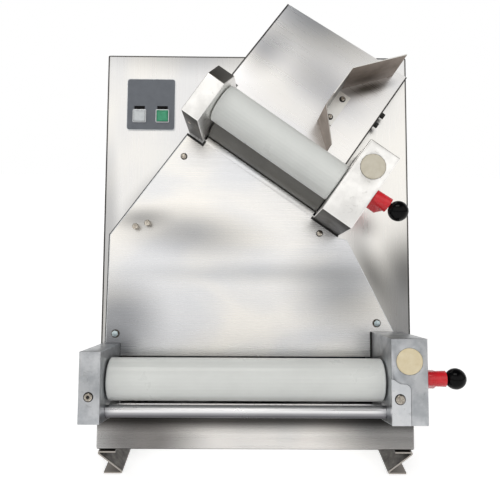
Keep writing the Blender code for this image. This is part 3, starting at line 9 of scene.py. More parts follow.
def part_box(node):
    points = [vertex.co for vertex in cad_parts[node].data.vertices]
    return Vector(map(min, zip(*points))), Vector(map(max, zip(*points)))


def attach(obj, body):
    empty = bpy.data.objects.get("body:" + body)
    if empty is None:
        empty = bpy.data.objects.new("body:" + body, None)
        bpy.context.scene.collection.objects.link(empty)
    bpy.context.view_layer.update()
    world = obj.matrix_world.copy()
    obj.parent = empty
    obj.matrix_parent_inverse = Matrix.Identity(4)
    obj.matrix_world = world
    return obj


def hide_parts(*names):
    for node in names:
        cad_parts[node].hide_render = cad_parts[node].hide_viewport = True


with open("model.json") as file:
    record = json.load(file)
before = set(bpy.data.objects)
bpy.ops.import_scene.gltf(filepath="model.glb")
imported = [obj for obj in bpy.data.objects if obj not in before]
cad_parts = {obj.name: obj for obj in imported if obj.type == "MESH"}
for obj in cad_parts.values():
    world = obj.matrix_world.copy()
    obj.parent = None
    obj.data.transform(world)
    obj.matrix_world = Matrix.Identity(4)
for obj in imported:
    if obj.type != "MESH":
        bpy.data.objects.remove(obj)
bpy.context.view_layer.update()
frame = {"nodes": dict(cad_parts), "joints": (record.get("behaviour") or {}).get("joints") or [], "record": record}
nodes = frame["nodes"]
joints = {joint["name"]: joint for joint in frame["joints"]}
mm = 0.001
print("frame loaded:", len(nodes), "nodes")


# Frames that the pieces are placed in. The panel leans back, and a push button moves square into it.
panel = {"plateStandOff": 0.1, "foot": 39.0, "chuteOut": -38.5, "chuteUp": 55.0, "chuteLean": -9.1}
inward = Vector(joints["stop_press"]["axis"]).normalized()
plateBack = max(v.co.dot(inward) for v in nodes["slide_plate"].data.vertices)
panelLevel = plateBack + panel["plateStandOff"] * mm


def panelFrame(along, point):
    # X along, Y into the panel, Z up it; the origin is the point, brought onto the panel's face
    along = Vector(along).normalized()
    point = Vector(point)
    origin = point + inward * (panelLevel - point.dot(inward))
    up = along.cross(inward)
    return Matrix((
        (along.x, inward.x, up.x, origin.x),
        (along.y, inward.y, up.y, origin.y),
        (along.z, inward.z, up.z, origin.z),
        (0, 0, 0, 1),
    ))


lowerFrame = panelFrame(joints["lower_front_spin"]["axis"], joints["lower_front_spin"]["pos_m"])
upperFrame = panelFrame(joints["upper_front_spin"]["axis"], joints["upper_front_spin"]["pos_m"])
shellLow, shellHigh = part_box("body_shell")
housingFoot = panel["foot"] * mm
footDepth = (panelLevel - inward.z * housingFoot) / inward.y
housingFrame = panelFrame((1, 0, 0), ((shellLow.x + shellHigh.x) / 2, footDepth, housingFoot))
chuteFoot = Matrix.Translation((0, panel["chuteOut"] * mm, panel["chuteUp"] * mm))
chuteLean = Matrix.Rotation(math.radians(panel["chuteLean"]), 4, "X")
chuteFrame = upperFrame @ chuteFoot @ chuteLean
stages = (("lower", lowerFrame), ("upper", upperFrame))


# Camera, fitted to the corners of the machine in the photograph
photoCamera = {
    "place": (-0.04896687, -0.95683499, 0.52269613),
    "right": (0.999935, -0.007893, 0.008252),
    "up": (-0.006706, 0.178983, 0.983829),
    "lens": 41.110,
}
cameraData = bpy.data.cameras.new("photoCamera")
cameraData.lens = photoCamera["lens"]
cameraData.sensor_width = 36
cameraData.clip_start = 0.02
cameraData.clip_end = 60
camera = bpy.data.objects.new("photoCamera", cameraData)
cameraRight = Vector(photoCamera["right"]).normalized()
cameraUp = Vector(photoCamera["up"]).normalized()
cameraTurn = Matrix((cameraRight, cameraUp, cameraRight.cross(cameraUp))).transposed().to_4x4()
camera.matrix_world = Matrix.Translation(photoCamera["place"]) @ cameraTurn
bpy.context.scene.collection.objects.link(camera)
bpy.context.scene.camera = camera
bpy.context.scene.view_settings.view_transform = "Standard"
print("camera made")


# Materials
def tone(hexColour):
    parts = [int(hexColour[i:i + 2], 16) / 255 for i in (1, 3, 5)]
    linear = [p / 12.92 if p <= 0.04045 else ((p + 0.055) / 1.055) ** 2.4 for p in parts]
    return (*linear, 1.0)


def addNode(tree, kind, settings):
    # a name that starts with a capital, or a number, is an input; any other is a property
    node = tree.nodes.new(kind)
    for name, value in settings.items():
        if isinstance(name, str) and name[0].islower():
            setattr(node, name, value)
        elif isinstance(value, bpy.types.NodeSocket):
            tree.links.new(value, node.inputs[name])
        else:
            node.inputs[name].default_value = value
    return node


def startMaterial(name):
    material = bpy.data.materials.new(name)
    material.use_nodes = True
    tree = material.node_tree
    tree.nodes.clear()
    coords = addNode(tree, "ShaderNodeTexCoord", {})
    return material, tree, coords.outputs["Object"], coords.outputs["Normal"]


def finishMaterial(tree, settings):
    shader = addNode(tree, "ShaderNodeBsdfPrincipled", settings)
    addNode(tree, "ShaderNodeOutputMaterial", {"Surface": shader.outputs[0]})


def multiplied(tree, share, first, second):
    return addNode(tree, "ShaderNodeMix", {
        "data_type": "RGBA", "blend_type": "MULTIPLY", "Factor": share, 6: first, 7: second}).outputs[2]


def stretched(tree, coords, size, pattern):
    # a noise whose spots have the given size in mm
    shaped = addNode(tree, "ShaderNodeMapping", {
        "vector_type": "TEXTURE", "Vector": coords, "Scale": size})
    return addNode(tree, "ShaderNodeTexNoise", dict(pattern, Vector=shaped.outputs[0], Scale=1.0))


def facing(tree, normal, direction, least=0.80, full=0.95):
    # 1 on the faces that look the given way, 0 on the others
    turned = addNode(tree, "ShaderNodeVectorMath", {
        "operation": "DOT_PRODUCT", 0: normal, 1: Vector(direction).normalized()})
    return addNode(tree, "ShaderNodeMapRange", {
        "interpolation_type": "SMOOTHSTEP", "Value": turned.outputs["Value"],
        "From Min": least, "From Max": full}).outputs[0]


def brushedSheet(name, look, place):
    # AISI 304 stainless sheet, ground with a belt: long fine scratches along the grain draw the
    # highlights out across it, and wiping, rubbing and handling leave soft warm and cool clouds
    material, tree, coords, normal = startMaterial(name)
    local = addNode(tree, "ShaderNodeMapping", {
        "vector_type": "TEXTURE", "Vector": coords, "Location": place.translation,
        "Rotation": place.to_euler(), "Scale": (mm, mm, mm)}).outputs[0]
    across, along = look["grain"]
    size = (along, across, across) if look["level"] else (across, across, along)
    streak = stretched(tree, local, size, {"Detail": 3.0, "Roughness": 0.62})
    across, along = look["scratch"]
    size = (along, across, across) if look["level"] else (across, across, along)
    scratch = stretched(tree, local, size, {"Detail": 2.0, "Roughness": 0.5})
    broad = look["cloud"]
    size = (broad * 1.7, broad, broad) if look["level"] else (broad, broad, broad * 1.7)
    cloud = stretched(tree, local, size, {"Detail": 2.5, "Roughness": 0.5, "Distortion": 0.4})
    cloudShare = addNode(tree, "ShaderNodeMapRange", {
        "interpolation_type": "SMOOTHSTEP", "Value": cloud.outputs["Fac"],
        "From Min": 0.34, "From Max": 0.66})
    colour = addNode(tree, "ShaderNodeMix", {
        "data_type": "RGBA", "Factor": cloudShare.outputs[0],
        6: tone(look["warm"]), 7: tone(look["cool"])}).outputs[2]
    streakShare = addNode(tree, "ShaderNodeMapRange", {
        "Value": streak.outputs["Fac"], "From Min": 0.3, "From Max": 0.7,
        "To Min": 1.0 - look["streakDepth"], "To Max": 1.0})
    colour = multiplied(tree, 1.0, colour, streakShare.outputs[0])
    # painted shade and reflection: each spot darkens the sheet towards its tone
    for at, reach, turn, soft, shadeTone in look["spots"]:
        centred = addNode(tree, "ShaderNodeMapping", {
            "vector_type": "TEXTURE", "Vector": local, "Location": at,
            "Rotation": (0, math.radians(turn), 0), "Scale": reach})
        away = addNode(tree, "ShaderNodeVectorMath", {"operation": "LENGTH", 0: centred.outputs[0]})
        share = addNode(tree, "ShaderNodeMapRange", {
            "interpolation_type": "SMOOTHSTEP", "Value": away.outputs["Value"],
            "From Min": 1.0, "From Max": soft, "To Min": 0.0, "To Max": 1.0})
        colour = multiplied(tree, share.outputs[0], colour, tone(shadeTone))
    if look["paintedEdgeShade"]:
        # painted shade on the sheet's cut edges, so that they show as dark lines
        inwardShare = addNode(tree, "ShaderNodeVectorMath", {
            "operation": "DOT_PRODUCT", 0: normal, 1: place.to_3x3() @ Vector((0, 1, 0))})
        flat = addNode(tree, "ShaderNodeMath", {"operation": "ABSOLUTE", 0: inwardShare.outputs["Value"]})
        edge = addNode(tree, "ShaderNodeMapRange", {
            "Value": flat.outputs[0], "From Min": 0.75, "From Max": 0.35})
        colour = multiplied(tree, edge.outputs[0], colour, tone(look["paintedEdgeShade"]))
    roughness = addNode(tree, "ShaderNodeMapRange", {
        "Value": streak.outputs["Fac"], "From Min": 0.3, "From Max": 0.7,
        "To Min": look["roughness"] - look["spread"], "To Max": look["roughness"] + look["spread"]})
    wavy = stretched(tree, local, (55.0, 55.0, 80.0), {"Detail": 1.0, "Roughness": 0.4})
    dinged = addNode(tree, "ShaderNodeBump", {
        "Strength": look["wave"], "Distance": 0.6 * mm, "Height": wavy.outputs["Fac"]})
    bump = addNode(tree, "ShaderNodeBump", {
        "Strength": look["bump"], "Distance": 0.05 * mm, "Height": scratch.outputs["Fac"],
        "Normal": dinged.outputs[0]})
    finishMaterial(tree, {
        "Base Color": colour, "Metallic": 1.0, "Roughness": roughness.outputs[0],
        "Normal": bump.outputs[0]})
    return material


def milledAluminium(name, look, shadedFaces=()):
    # Aluminium block, milled and then blasted: an even satin skin, with faint cloudy staining
    # and small dull rubs; faces that look the given ways are painted darker, painted shade
    material, tree, coords, normal = startMaterial(name)
    stain = addNode(tree, "ShaderNodeTexNoise", {
        "Vector": coords, "Scale": 1 / (look["stain"] * mm), "Detail": 4.0, "Roughness": 0.6})
    stainShare = addNode(tree, "ShaderNodeMapRange", {
        "interpolation_type": "SMOOTHSTEP", "Value": stain.outputs["Fac"],
        "From Min": 0.35, "From Max": 0.68})
    colour = addNode(tree, "ShaderNodeMix", {
        "data_type": "RGBA", "Factor": stainShare.outputs[0],
        6: tone(look["clean"]), 7: tone(look["dull"])}).outputs[2]
    rub = addNode(tree, "ShaderNodeTexNoise", {
        "Vector": coords, "Scale": 1 / (look["rub"] * mm), "Detail": 3.0, "Roughness": 0.7,
        "Distortion": 0.8})
    rubShare = addNode(tree, "ShaderNodeMapRange", {
        "Value": rub.outputs["Fac"], "From Min": 0.60, "From Max": 0.72, "To Max": 0.35})
    colour = multiplied(tree, rubShare.outputs[0], colour, tone(look["rubTone"]))
    # painted shade on the faces that look the given ways
    for direction, faceTone in shadedFaces:
        colour = multiplied(tree, facing(tree, normal, direction), colour, tone(faceTone))
    grit = addNode(tree, "ShaderNodeTexNoise", {
        "Vector": coords, "Scale": 1 / (look["grit"] * mm), "Detail": 2.0})
    roughness = addNode(tree, "ShaderNodeMapRange", {
        "Value": stain.outputs["Fac"], "From Min": 0.3, "From Max": 0.7,
        "To Min": look["roughness"] - 0.05, "To Max": look["roughness"] + 0.07})
    bump = addNode(tree, "ShaderNodeBump", {
        "Strength": look["bump"], "Distance": 0.05 * mm, "Height": grit.outputs["Fac"]})
    finishMaterial(tree, {
        "Base Color": colour, "Metallic": 1.0, "Roughness": roughness.outputs[0],
        "Normal": bump.outputs[0]})
    return material


def axisFrame(place, point):
    # turned like the place, with its origin on a round piece's axis
    return Matrix.Translation(point) @ place.to_3x3().to_4x4()


def plainFinish(name, look, faces=(), axis=None):
    # Moulded, turned or painted surface with a faint mottle and a fine grain in its gloss
    material, tree, coords, normal = startMaterial(name)
    if axis:
        # round pieces: the painted light and shade come from a face's place round the axis, so no facets show
        local = addNode(tree, "ShaderNodeMapping", {
            "vector_type": "TEXTURE", "Vector": coords, "Location": axis.translation,
            "Rotation": axis.to_euler()})
        flat = addNode(tree, "ShaderNodeVectorMath", {
            "operation": "MULTIPLY", 0: local.outputs[0], 1: (0, 1, 1)})
        unit = addNode(tree, "ShaderNodeVectorMath", {"operation": "NORMALIZE", 0: flat.outputs[0]})
        normal = unit.outputs[0]
    mottle = addNode(tree, "ShaderNodeTexNoise", {
        "Vector": coords, "Scale": 1 / (look["mottle"] * mm), "Detail": 4.0, "Roughness": 0.6})
    mottleShare = addNode(tree, "ShaderNodeMapRange", {
        "Value": mottle.outputs["Fac"], "From Min": 0.3, "From Max": 0.7})
    colour = addNode(tree, "ShaderNodeMix", {
        "data_type": "RGBA", "Factor": mottleShare.outputs[0],
        6: tone(look["light"]), 7: tone(look["dark"])}).outputs[2]
    # faces that look the given ways get a painted tone: painted light and shade
    for direction, faceTone, *limits in faces:
        colour = addNode(tree, "ShaderNodeMix", {
            "data_type": "RGBA", "Factor": facing(tree, normal, direction, *limits),
            6: colour, 7: tone(faceTone)}).outputs[2]
    grit = addNode(tree, "ShaderNodeTexNoise", {
        "Vector": coords, "Scale": 1 / (look["grit"] * mm), "Detail": 2.0})
    roughness = addNode(tree, "ShaderNodeMapRange", {
        "Value": mottle.outputs["Fac"], "From Min": 0.3, "From Max": 0.7,
        "To Min": look["roughness"] * 0.85, "To Max": look["roughness"] * 1.15})
    bump = addNode(tree, "ShaderNodeBump", {
        "Strength": look["bump"], "Distance": 0.05 * mm, "Height": grit.outputs["Fac"]})
    finishMaterial(tree, {
        "Base Color": colour, "Metallic": look["metallic"], "Specular IOR Level": look.get("specular", 0.5),
        "Roughness": roughness.outputs[0], "Normal": bump.outputs[0]})
    return material


# Painted shade and reflection spots. Each spot: its middle and its reach in mm (along, into and up the sheet), its
# turn in degrees, where it is at its full depth (0 middle, 1 rim), and its tone
housingShadeSpots = [
    ((-249.5, 1.5, 320), (3.2, 6, 3000), 0, 0.6, "#5a5856"),     # painted shade on the bends at the sides and the top
    ((249.5, 1.5, 320), (3.2, 6, 3000), 0, 0.6, "#5a5856"),
    ((0, 1.5, 640), (3000, 6, 3.2), 0, 0.6, "#5a5856"),
    ((262, 0, 205), (105, 900, 205), 0, 0.25, "#a4a4a4"),        # painted shade by the lower right head
    ((186, 0, 278), (100, 900, 36), 65, 0.0, "#9a9a9a"),
    ((240, 0, 285), (60, 900, 70), 0, 0.0, "#c0c0c0"),
    ((-160, 0, 398), (110, 900, 50), -45, 0.0, "#b0b0b2"),
    ((-90, 0, 665), (260, 900, 70), 0, 0.2, "#c2c3c5"),
    ((-247, 0, 300), (30, 900, 240), 0, 0.3, "#d6d6d6"),
]
# painted reflection and shade on the slide plate
plateShadeSpots = [
    ((-190, 0, 366), (70, 900, 26), -4, 0.0, "#c4c5c7"),
    ((-105, 0, 342), (170, 900, 58), 6, 0.0, "#bfc0c2"),
    ((20, 0, 278), (320, 900, 26), 0, 0.0, "#e2e3e4"),
    ((-225, 0, 200), (100, 900, 95), 0, 0.1, "#b6b7b9"),
    ((140, 0, 250), (120, 900, 105), 24, 0.0, "#bcbdbe"),
    ((-235, 0, 160), (60, 900, 40), 0, 0.1, "#c6c6c7"),
]
# Grain is really about 0.2 mm across; it is drawn coarser here so that it shows
housingSheet = {
    "warm": "#efede9", "cool": "#e2e2e3", "grain": (3.0, 160.0), "scratch": (0.8, 30.0), "level": False,
    "cloud": 150.0, "streakDepth": 0.06, "roughness": 0.30, "bump": 0.2, "wave": 0.12,
    "spread": 0.05, "paintedEdgeShade": None, "spots": housingShadeSpots,
}
plateSheet = dict(housingSheet, warm="#f3f0eb", cool="#e0e1e4", grain=(1.8, 130.0), cloud=130.0, level=True,
                  streakDepth=0.035, bump=0.08, roughness=0.28, paintedEdgeShade="#5c5b5a", spots=plateShadeSpots)
# The apron's spots are painted shade: the bar's, shade at both sides, and a dark line along its bottom bend
apronSheet = dict(plateSheet, warm="#f0ece8", cool="#dcdcdc", paintedEdgeShade=None, spots=[
    ((0, 0, 47), (3000, 900, 24), 0, 0.1, "#525150"),            # the bar's shade
    ((-180, 0, 15), (125, 900, 70), 0, 0.2, "#929191"),
    ((225, 0, 30), (150, 900, 90), 0, 0.2, "#a0a0a0"),
    ((0, -6, 0), (3000, 9, 3.0), 0, 0.6, "#4c4a48"),
])
# The chute's sheet is painted lighter than the housing's (painted light), and its spots are painted shade
chuteSheet = dict(plateSheet, warm="#fbf9f6", cool="#f1f1f3", grain=(1.6, 120.0),
                  streakDepth=0.02, cloud=110.0, roughness=0.28, bump=0.0, spread=0.01,
                  paintedEdgeShade="#5c5b5a", spots=[
    ((-129.5, 1, 60), (3.4, 7, 3000), 0, 0.55, "#4a4a4a"),       # painted shade on the bends at the sides
    ((104.0, 1, 60), (3.0, 7, 3000), 0, 0.55, "#3c3b3a"),
    ((-95, 0, 190), (190, 900, 135), -15, 0.1, "#a9abae"),
    ((0, 0, 75), (100, 900, 55), 0, 0.1, "#d4d5d8"),
    ((-118, 0, 70), (60, 900, 70), 0, 0.0, "#b4b5b8"),
    ((62, 0, 118), (60, 900, 15), -52, 0.1, "#77746f"),          # painted shadow in the guide's corner
])
steels = {
    "body_shell": brushedSheet("stainless304_housing_belt_ground", housingSheet, housingFrame),
    "slide_plate": brushedSheet("stainless304_plate_belt_ground", plateSheet, housingFrame),
    "lower_front_panel": brushedSheet("stainless304_apron_belt_ground", apronSheet, housingFrame),
    "upper_chute": brushedSheet("stainless304_chute_belt_ground", chuteSheet, chuteFrame),
    # the guide is painted by facing: lighter where it faces out of the chute and darker on its sides, painted
    # light and shade
    "chute_guide": plainFinish("stainless304_guide_folded_painted_light_and_shade", {
        "light": "#85796f", "dark": "#675b51", "mottle": 40.0, "grit": 0.5, "roughness": 0.36,
        "bump": 0.15, "metallic": 1.0}, [
            (chuteFrame.to_3x3() @ Vector((0, -1, 0)), "#efeeea"),
            (chuteFrame.to_3x3() @ Vector((1, 0, 0)), "#5f5a56"),
            (chuteFrame.to_3x3() @ Vector((-1, 0, 0)), "#5f5a56")]),
}
steels["rear_cover"] = brushedSheet("stainless304_cover_belt_ground", dict(
    housingSheet, warm="#d9d7d3", cool="#cfcfcf", roughness=0.42, spots=[]), housingFrame)
steels["base_plate"] = steels["rear_cover"]
# the feet are painted darker for the shade under the machine, and their front and top faces are painted lighter:
# painted shade and light
steels["left_foot"] = plainFinish("stainless304_feet_folded_painted_shade_and_light", {
    "light": "#7c7976", "dark": "#5b5957", "mottle": 9.0, "grit": 0.5, "roughness": 0.42,
    "bump": 0.2, "metallic": 1.0}, [((0, -1, 0), "#a39e98"), ((0, 0, 1), "#a09a94")])
steels["right_foot"] = steels["left_foot"]

# The lower heads are the same aluminium as the upper ones, painted darker: painted shade
lowerHeadShadedMetal = {
    "clean": "#bdbfc2", "dull": "#a2a5a9", "stain": 26.0, "grit": 0.6, "roughness": 0.36, "bump": 0.2,
    "rub": 9.0, "rubTone": "#b9b7b4",
}
upperHeadMetal = dict(lowerHeadShadedMetal, clean="#f8f7f5", dull="#eae9e7")
coverMetal = dict(lowerHeadShadedMetal, clean="#e0e2e5", dull="#cdd0d4", roughness=0.32)
# the upper heads' end and sloping faces are painted darker: painted shade
upperEnd = upperFrame.to_3x3() @ Vector((0, 0, -1))
upperSlope = upperFrame.to_3x3() @ Vector((0, -0.747, 0.665))
paintedShadeFaces = [(upperEnd, "#42403d"), (upperSlope, "#a3a19e")]
barLow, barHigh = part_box("guard_bar")
barMiddle = (barLow + barHigh) / 2
rollerLook = {"light": "#e9ecea", "dark": "#e2e5e3", "mottle": 60.0, "grit": 0.5, "roughness": 0.30,
              "bump": 0.1, "metallic": 0.0}
# the rear rollers are the same polymer as the front ones, painted darker for the shade they sit in: painted shade
rearShadedLook = dict(rollerLook, light="#6f6e6a", dark="#64635f", roughness=0.4)
slotFinishes = {
    "stainless": plainFinish("stainless304_turned", {
        "light": "#d8d4d0", "dark": "#c4c0bc", "mottle": 9.0, "grit": 0.5, "roughness": 0.3,
        "bump": 0.1, "metallic": 1.0}),
    # the lower heads' upward faces are painted a little darker: painted shade
    "head_metal": milledAluminium("aluminium_blasted_lower_heads_painted_shade", lowerHeadShadedMetal, [
        ((0, -0.2, 0.98), "#eeeeec")]),
    "plated_steel": plainFinish("steel_blue_zinc_plated", {
        "light": "#c6d2d5", "dark": "#93a2a7", "mottle": 3.0, "grit": 0.5, "roughness": 0.3,
        "bump": 0.1, "metallic": 1.0}),
    # the bar is painted darker, with a painted highlight along its upper front and painted shade along its
    # underside
    "polished_steel": plainFinish("stainless_bar_polished_painted_highlight_and_shade", {
        "light": "#aaaaad", "dark": "#a3a3a6", "mottle": 60.0, "grit": 0.4, "roughness": 0.30,
        "bump": 0.0, "metallic": 1.0}, [
            ((0, -0.92, 0.39), "#e4e4e6", 0.84, 1.0), ((0, -0.10, -0.99), "#48474c", 0.05, 0.9)],
        axisFrame(lowerFrame, barMiddle)),
    "roller_polymer": plainFinish("polyethylene_turned_rollers", rollerLook),
    "red_lever": plainFinish("nylon_moulded_red", {
        "light": "#e52833", "dark": "#d01d28", "mottle": 8.0, "grit": 0.5, "roughness": 0.26,
        "bump": 0.1, "metallic": 0.0}),
    "black_knob": plainFinish("phenolic_polished_black", {
        "light": "#0a0a0c", "dark": "#050506", "mottle": 8.0, "grit": 0.5, "roughness": 0.08,
        "bump": 0.0, "metallic": 0.0, "specular": 0.10}),
    "cream_plug": plainFinish("nylon_turned_cream", {
        "light": "#f0e3c4", "dark": "#e6d7b2", "mottle": 9.0, "grit": 0.4, "roughness": 0.5,
        "bump": 0.15, "metallic": 0.0}),
    "panel_grey": plainFinish("polyester_film_grey", {
        "light": "#666b73", "dark": "#60656d", "mottle": 12.0, "grit": 0.4, "roughness": 0.42,
        "bump": 0.1, "metallic": 0.0}),
    "white_button": plainFinish("polycarbonate_moulded_white", {
        "light": "#d8dde0", "dark": "#c9ced2", "mottle": 6.0, "grit": 0.5, "roughness": 0.22,
        "bump": 0.0, "metallic": 0.0}),
    "green_button": plainFinish("polycarbonate_moulded_green", {
        "light": "#3fa57d", "dark": "#2b8a62", "mottle": 6.0, "grit": 0.5, "roughness": 0.22,
        "bump": 0.0, "metallic": 0.0}),
    "belt_rubber": plainFinish("rubber_moulded_belt", {
        "light": "#26262a", "dark": "#1a1a1c", "mottle": 6.0, "grit": 0.6, "roughness": 0.7,
        "bump": 0.4, "metallic": 0.0}),
    "motor_metal": plainFinish("aluminium_painted_motor_blue_grey", {
        "light": "#5b6470", "dark": "#525a66", "mottle": 10.0, "grit": 0.8, "roughness": 0.5,
        "bump": 0.3, "metallic": 0.0}),
    "box_plastic": plainFinish("abs_moulded_light_grey", {
        "light": "#b6b8ba", "dark": "#adafb1", "mottle": 14.0, "grit": 0.8, "roughness": 0.5,
        "bump": 0.3, "metallic": 0.0}),
}
upperHeads = milledAluminium("aluminium_blasted_upper_heads", upperHeadMetal, paintedShadeFaces)
rearRollers = plainFinish("polyethylene_turned_rear_rollers_painted_shade", rearShadedLook)
upperPlug = plainFinish("nylon_turned_grey_cream", {
    "light": "#dbd5c5", "dark": "#cfc8b6", "mottle": 9.0, "grit": 0.4, "roughness": 0.5,
    "bump": 0.15, "metallic": 0.0})
# washers under the hex heads, painted dark for the shade round the heads: painted shade
shadeDarkWasher = plainFinish("steel_washers_painted_shade", {
    "light": "#6a6158", "dark": "#453f3a", "mottle": 4.0, "grit": 0.4, "roughness": 0.34,
    "bump": 0.1, "metallic": 1.0})
# black rubber for washers and bolts, and black for the painted shade lines along the plate and round the screws
blackRubberAndShade = plainFinish("rubber_black_and_painted_shade", {
    "light": "#232322", "dark": "#161615", "mottle": 5.0, "grit": 0.5, "roughness": 0.6,
    "bump": 0.2, "metallic": 0.0})
brightScrew = plainFinish("stainless304_turned_screws", {
    "light": "#d6cfc4", "dark": "#8f867b", "mottle": 2.0, "grit": 0.4, "roughness": 0.26,
    "bump": 0.1, "metallic": 1.0})
# silver trim round the control film and keys, and the painted highlight along the plate's free edges
silverTrimAndHighlight = plainFinish("aluminium_anodised_trim_and_painted_highlight", {
    "light": "#dfe1e3", "dark": "#c9ccd0", "mottle": 9.0, "grit": 0.4, "roughness": 0.35,
    "bump": 0.1, "metallic": 1.0})

coverFinish = milledAluminium("aluminium_polished_cover", coverMetal)
ownFinish = dict(steels, upper_left_head=upperHeads, upper_right_head=upperHeads,
                 lower_right_cover=coverFinish, lower_rear_roller=rearRollers,
                 upper_rear_roller=rearRollers)
slotOf = {row["node"]: row["material_slot"] for row in frame["record"]["subparts"]}


def finishOf(name):
    return ownFinish.get(name) or slotFinishes[slotOf[name]]


for name, node in nodes.items():
    for index in range(len(node.data.materials)):
        node.data.materials[index] = finishOf(name)
print("materials on the CAD nodes")


# Modelling helpers
def turnedSolid(profile, steps=24):
    # (radius, height) in mm, from the axis round to the axis, spun about Z
    work = bmesh.new()
    corners = [work.verts.new((radius * mm, 0, height * mm)) for radius, height in profile]
    edges = [work.edges.new(pair) for pair in zip(corners, corners[1:])]
    bmesh.ops.spin(work, geom=corners + edges, cent=(0, 0, 0), axis=(0, 0, 1),
                   angle=math.tau, steps=steps, use_merge=True)
    bmesh.ops.remove_doubles(work, verts=work.verts, dist=0.001 * mm)
    bmesh.ops.recalc_face_normals(work, faces=work.faces)
    return work


def plainBlock(low, high):
    work = bmesh.new()
    bmesh.ops.create_cube(work, size=1.0)
    low, high = Vector(low) * mm, Vector(high) * mm
    bmesh.ops.scale(work, verts=work.verts, vec=high - low)
    bmesh.ops.translate(work, verts=work.verts, vec=(low + high) / 2)
    return work


def vertsOf(made):
    return [item for item in made if isinstance(item, bmesh.types.BMVert)]


def roundedBlock(low, high, edge):
    work = plainBlock(low, high)
    bmesh.ops.bevel(work, geom=work.edges[:], offset=edge * mm, segments=2, profile=0.5,
                    affect="EDGES", material=-1)
    return work


def ringFrame(low, high, corner, wall):
    # an upright rectangular ring with rounded corners, open to the front and the back
    work = plainBlock(low, high)
    ends = [face for face in work.faces if abs(face.normal.y) > 0.9]
    bmesh.ops.delete(work, geom=ends, context="FACES_ONLY")
    corners = [edge for edge in work.edges if len(edge.link_faces) == 2]
    bmesh.ops.bevel(work, geom=corners, offset=corner * mm, segments=4, profile=0.5,
                    affect="EDGES", material=-1)
    bmesh.ops.solidify(work, geom=work.faces[:], thickness=wall * mm)
    bmesh.ops.recalc_face_normals(work, faces=work.faces)
    return work


def hexagonHead(size, height, edge):
    work = bmesh.new()
    bmesh.ops.create_cone(work, cap_ends=True, segments=6, radius1=size * mm, radius2=size * mm,
                          depth=height * mm)
    bmesh.ops.translate(work, verts=work.verts, vec=(0, 0, height / 2 * mm))
    top = [edge for edge in work.edges if all(v.co.z > height * 0.9 * mm for v in edge.verts)]
    bmesh.ops.bevel(work, geom=top, offset=edge * mm, segments=2, profile=0.5, affect="EDGES",
                    material=-1)
    return work


def socketHead(radius, height, edge, socket, depth):
    # round head with a hexagon socket
    work = bmesh.new()
    bmesh.ops.create_circle(work, segments=24, radius=(radius - edge) * mm)
    outer = work.edges[:]
    bmesh.ops.create_circle(work, segments=6, radius=socket * mm)
    inner = [edge for edge in work.edges if edge not in outer]
    bmesh.ops.bridge_loops(work, edges=outer + inner)
    for start, steps in ((outer, ((radius / (radius - edge), -edge), (1, edge - height))),
                         (inner, ((0.92, -0.3), (1, 0.3 - depth)))):
        for grow, drop in steps:
            made = bmesh.ops.extrude_edge_only(work, edges=start)["geom"]
            verts = vertsOf(made)
            start = [item for item in made if isinstance(item, bmesh.types.BMEdge)]
            bmesh.ops.scale(work, verts=verts, vec=(grow, grow, 1))
            bmesh.ops.translate(work, verts=verts, vec=(0, 0, drop * mm))
    bmesh.ops.holes_fill(work, edges=work.edges[:])
    bmesh.ops.recalc_face_normals(work, faces=work.faces)
    bmesh.ops.translate(work, verts=work.verts, vec=(0, 0, height * mm))
    return work


def slottedHead(radius, height, edge, slot, depth):
    work = turnedSolid([(0, 0), (radius, 0), (radius, height - edge), (radius - edge, height), (0, height)])
    for side in (-1, 1):
        bmesh.ops.bisect_plane(work, geom=work.verts[:] + work.edges[:] + work.faces[:],
                               plane_co=(side * slot / 2 * mm, 0, 0), plane_no=(1, 0, 0))
    floor = [face for face in work.faces
             if face.normal.z > 0.9 and abs(face.calc_center_median().x) < slot / 2 * mm]
    made = bmesh.ops.extrude_face_region(work, geom=floor)["geom"]
    verts = vertsOf(made)
    bmesh.ops.delete(work, geom=[face for face in floor if face.is_valid], context="FACES")
    bmesh.ops.translate(work, verts=verts, vec=(0, 0, -depth * mm))
    return work


def cadCopy(name, place=Matrix()):
    # a CAD node's mesh in the given frame, with its doubled corners joined
    work = bmesh.new()
    work.from_mesh(nodes[name].data)
    bmesh.ops.remove_doubles(work, verts=work.verts, dist=0.01 * mm)
    bmesh.ops.transform(work, matrix=place.inverted(), verts=work.verts)
    return work


def breakEdges(work, wide, least, shortest=0.0):
    # bevels the outer edges that turn by more than the least angle, in degrees
    bmesh.ops.dissolve_limit(work, angle_limit=math.radians(1), verts=work.verts, edges=work.edges)
    rim = [edge for edge in work.edges
           if edge.is_manifold and edge.calc_face_angle_signed() > math.radians(least)
           and edge.calc_length() > shortest * mm]
    bmesh.ops.bevel(work, geom=rim, offset=wide * mm, segments=2, profile=0.5, affect="EDGES",
                    material=-1, clamp_overlap=True)


def outward(place, along, up, depth=0.0, turn=0.0):
    # stands a piece that was made along Z on a front face of that frame
    return (place @ Matrix.Translation(Vector((along, depth, up)) * mm)
            @ Matrix.Rotation(math.radians(90), 4, "X") @ Matrix.Rotation(math.radians(turn), 4, "Z"))


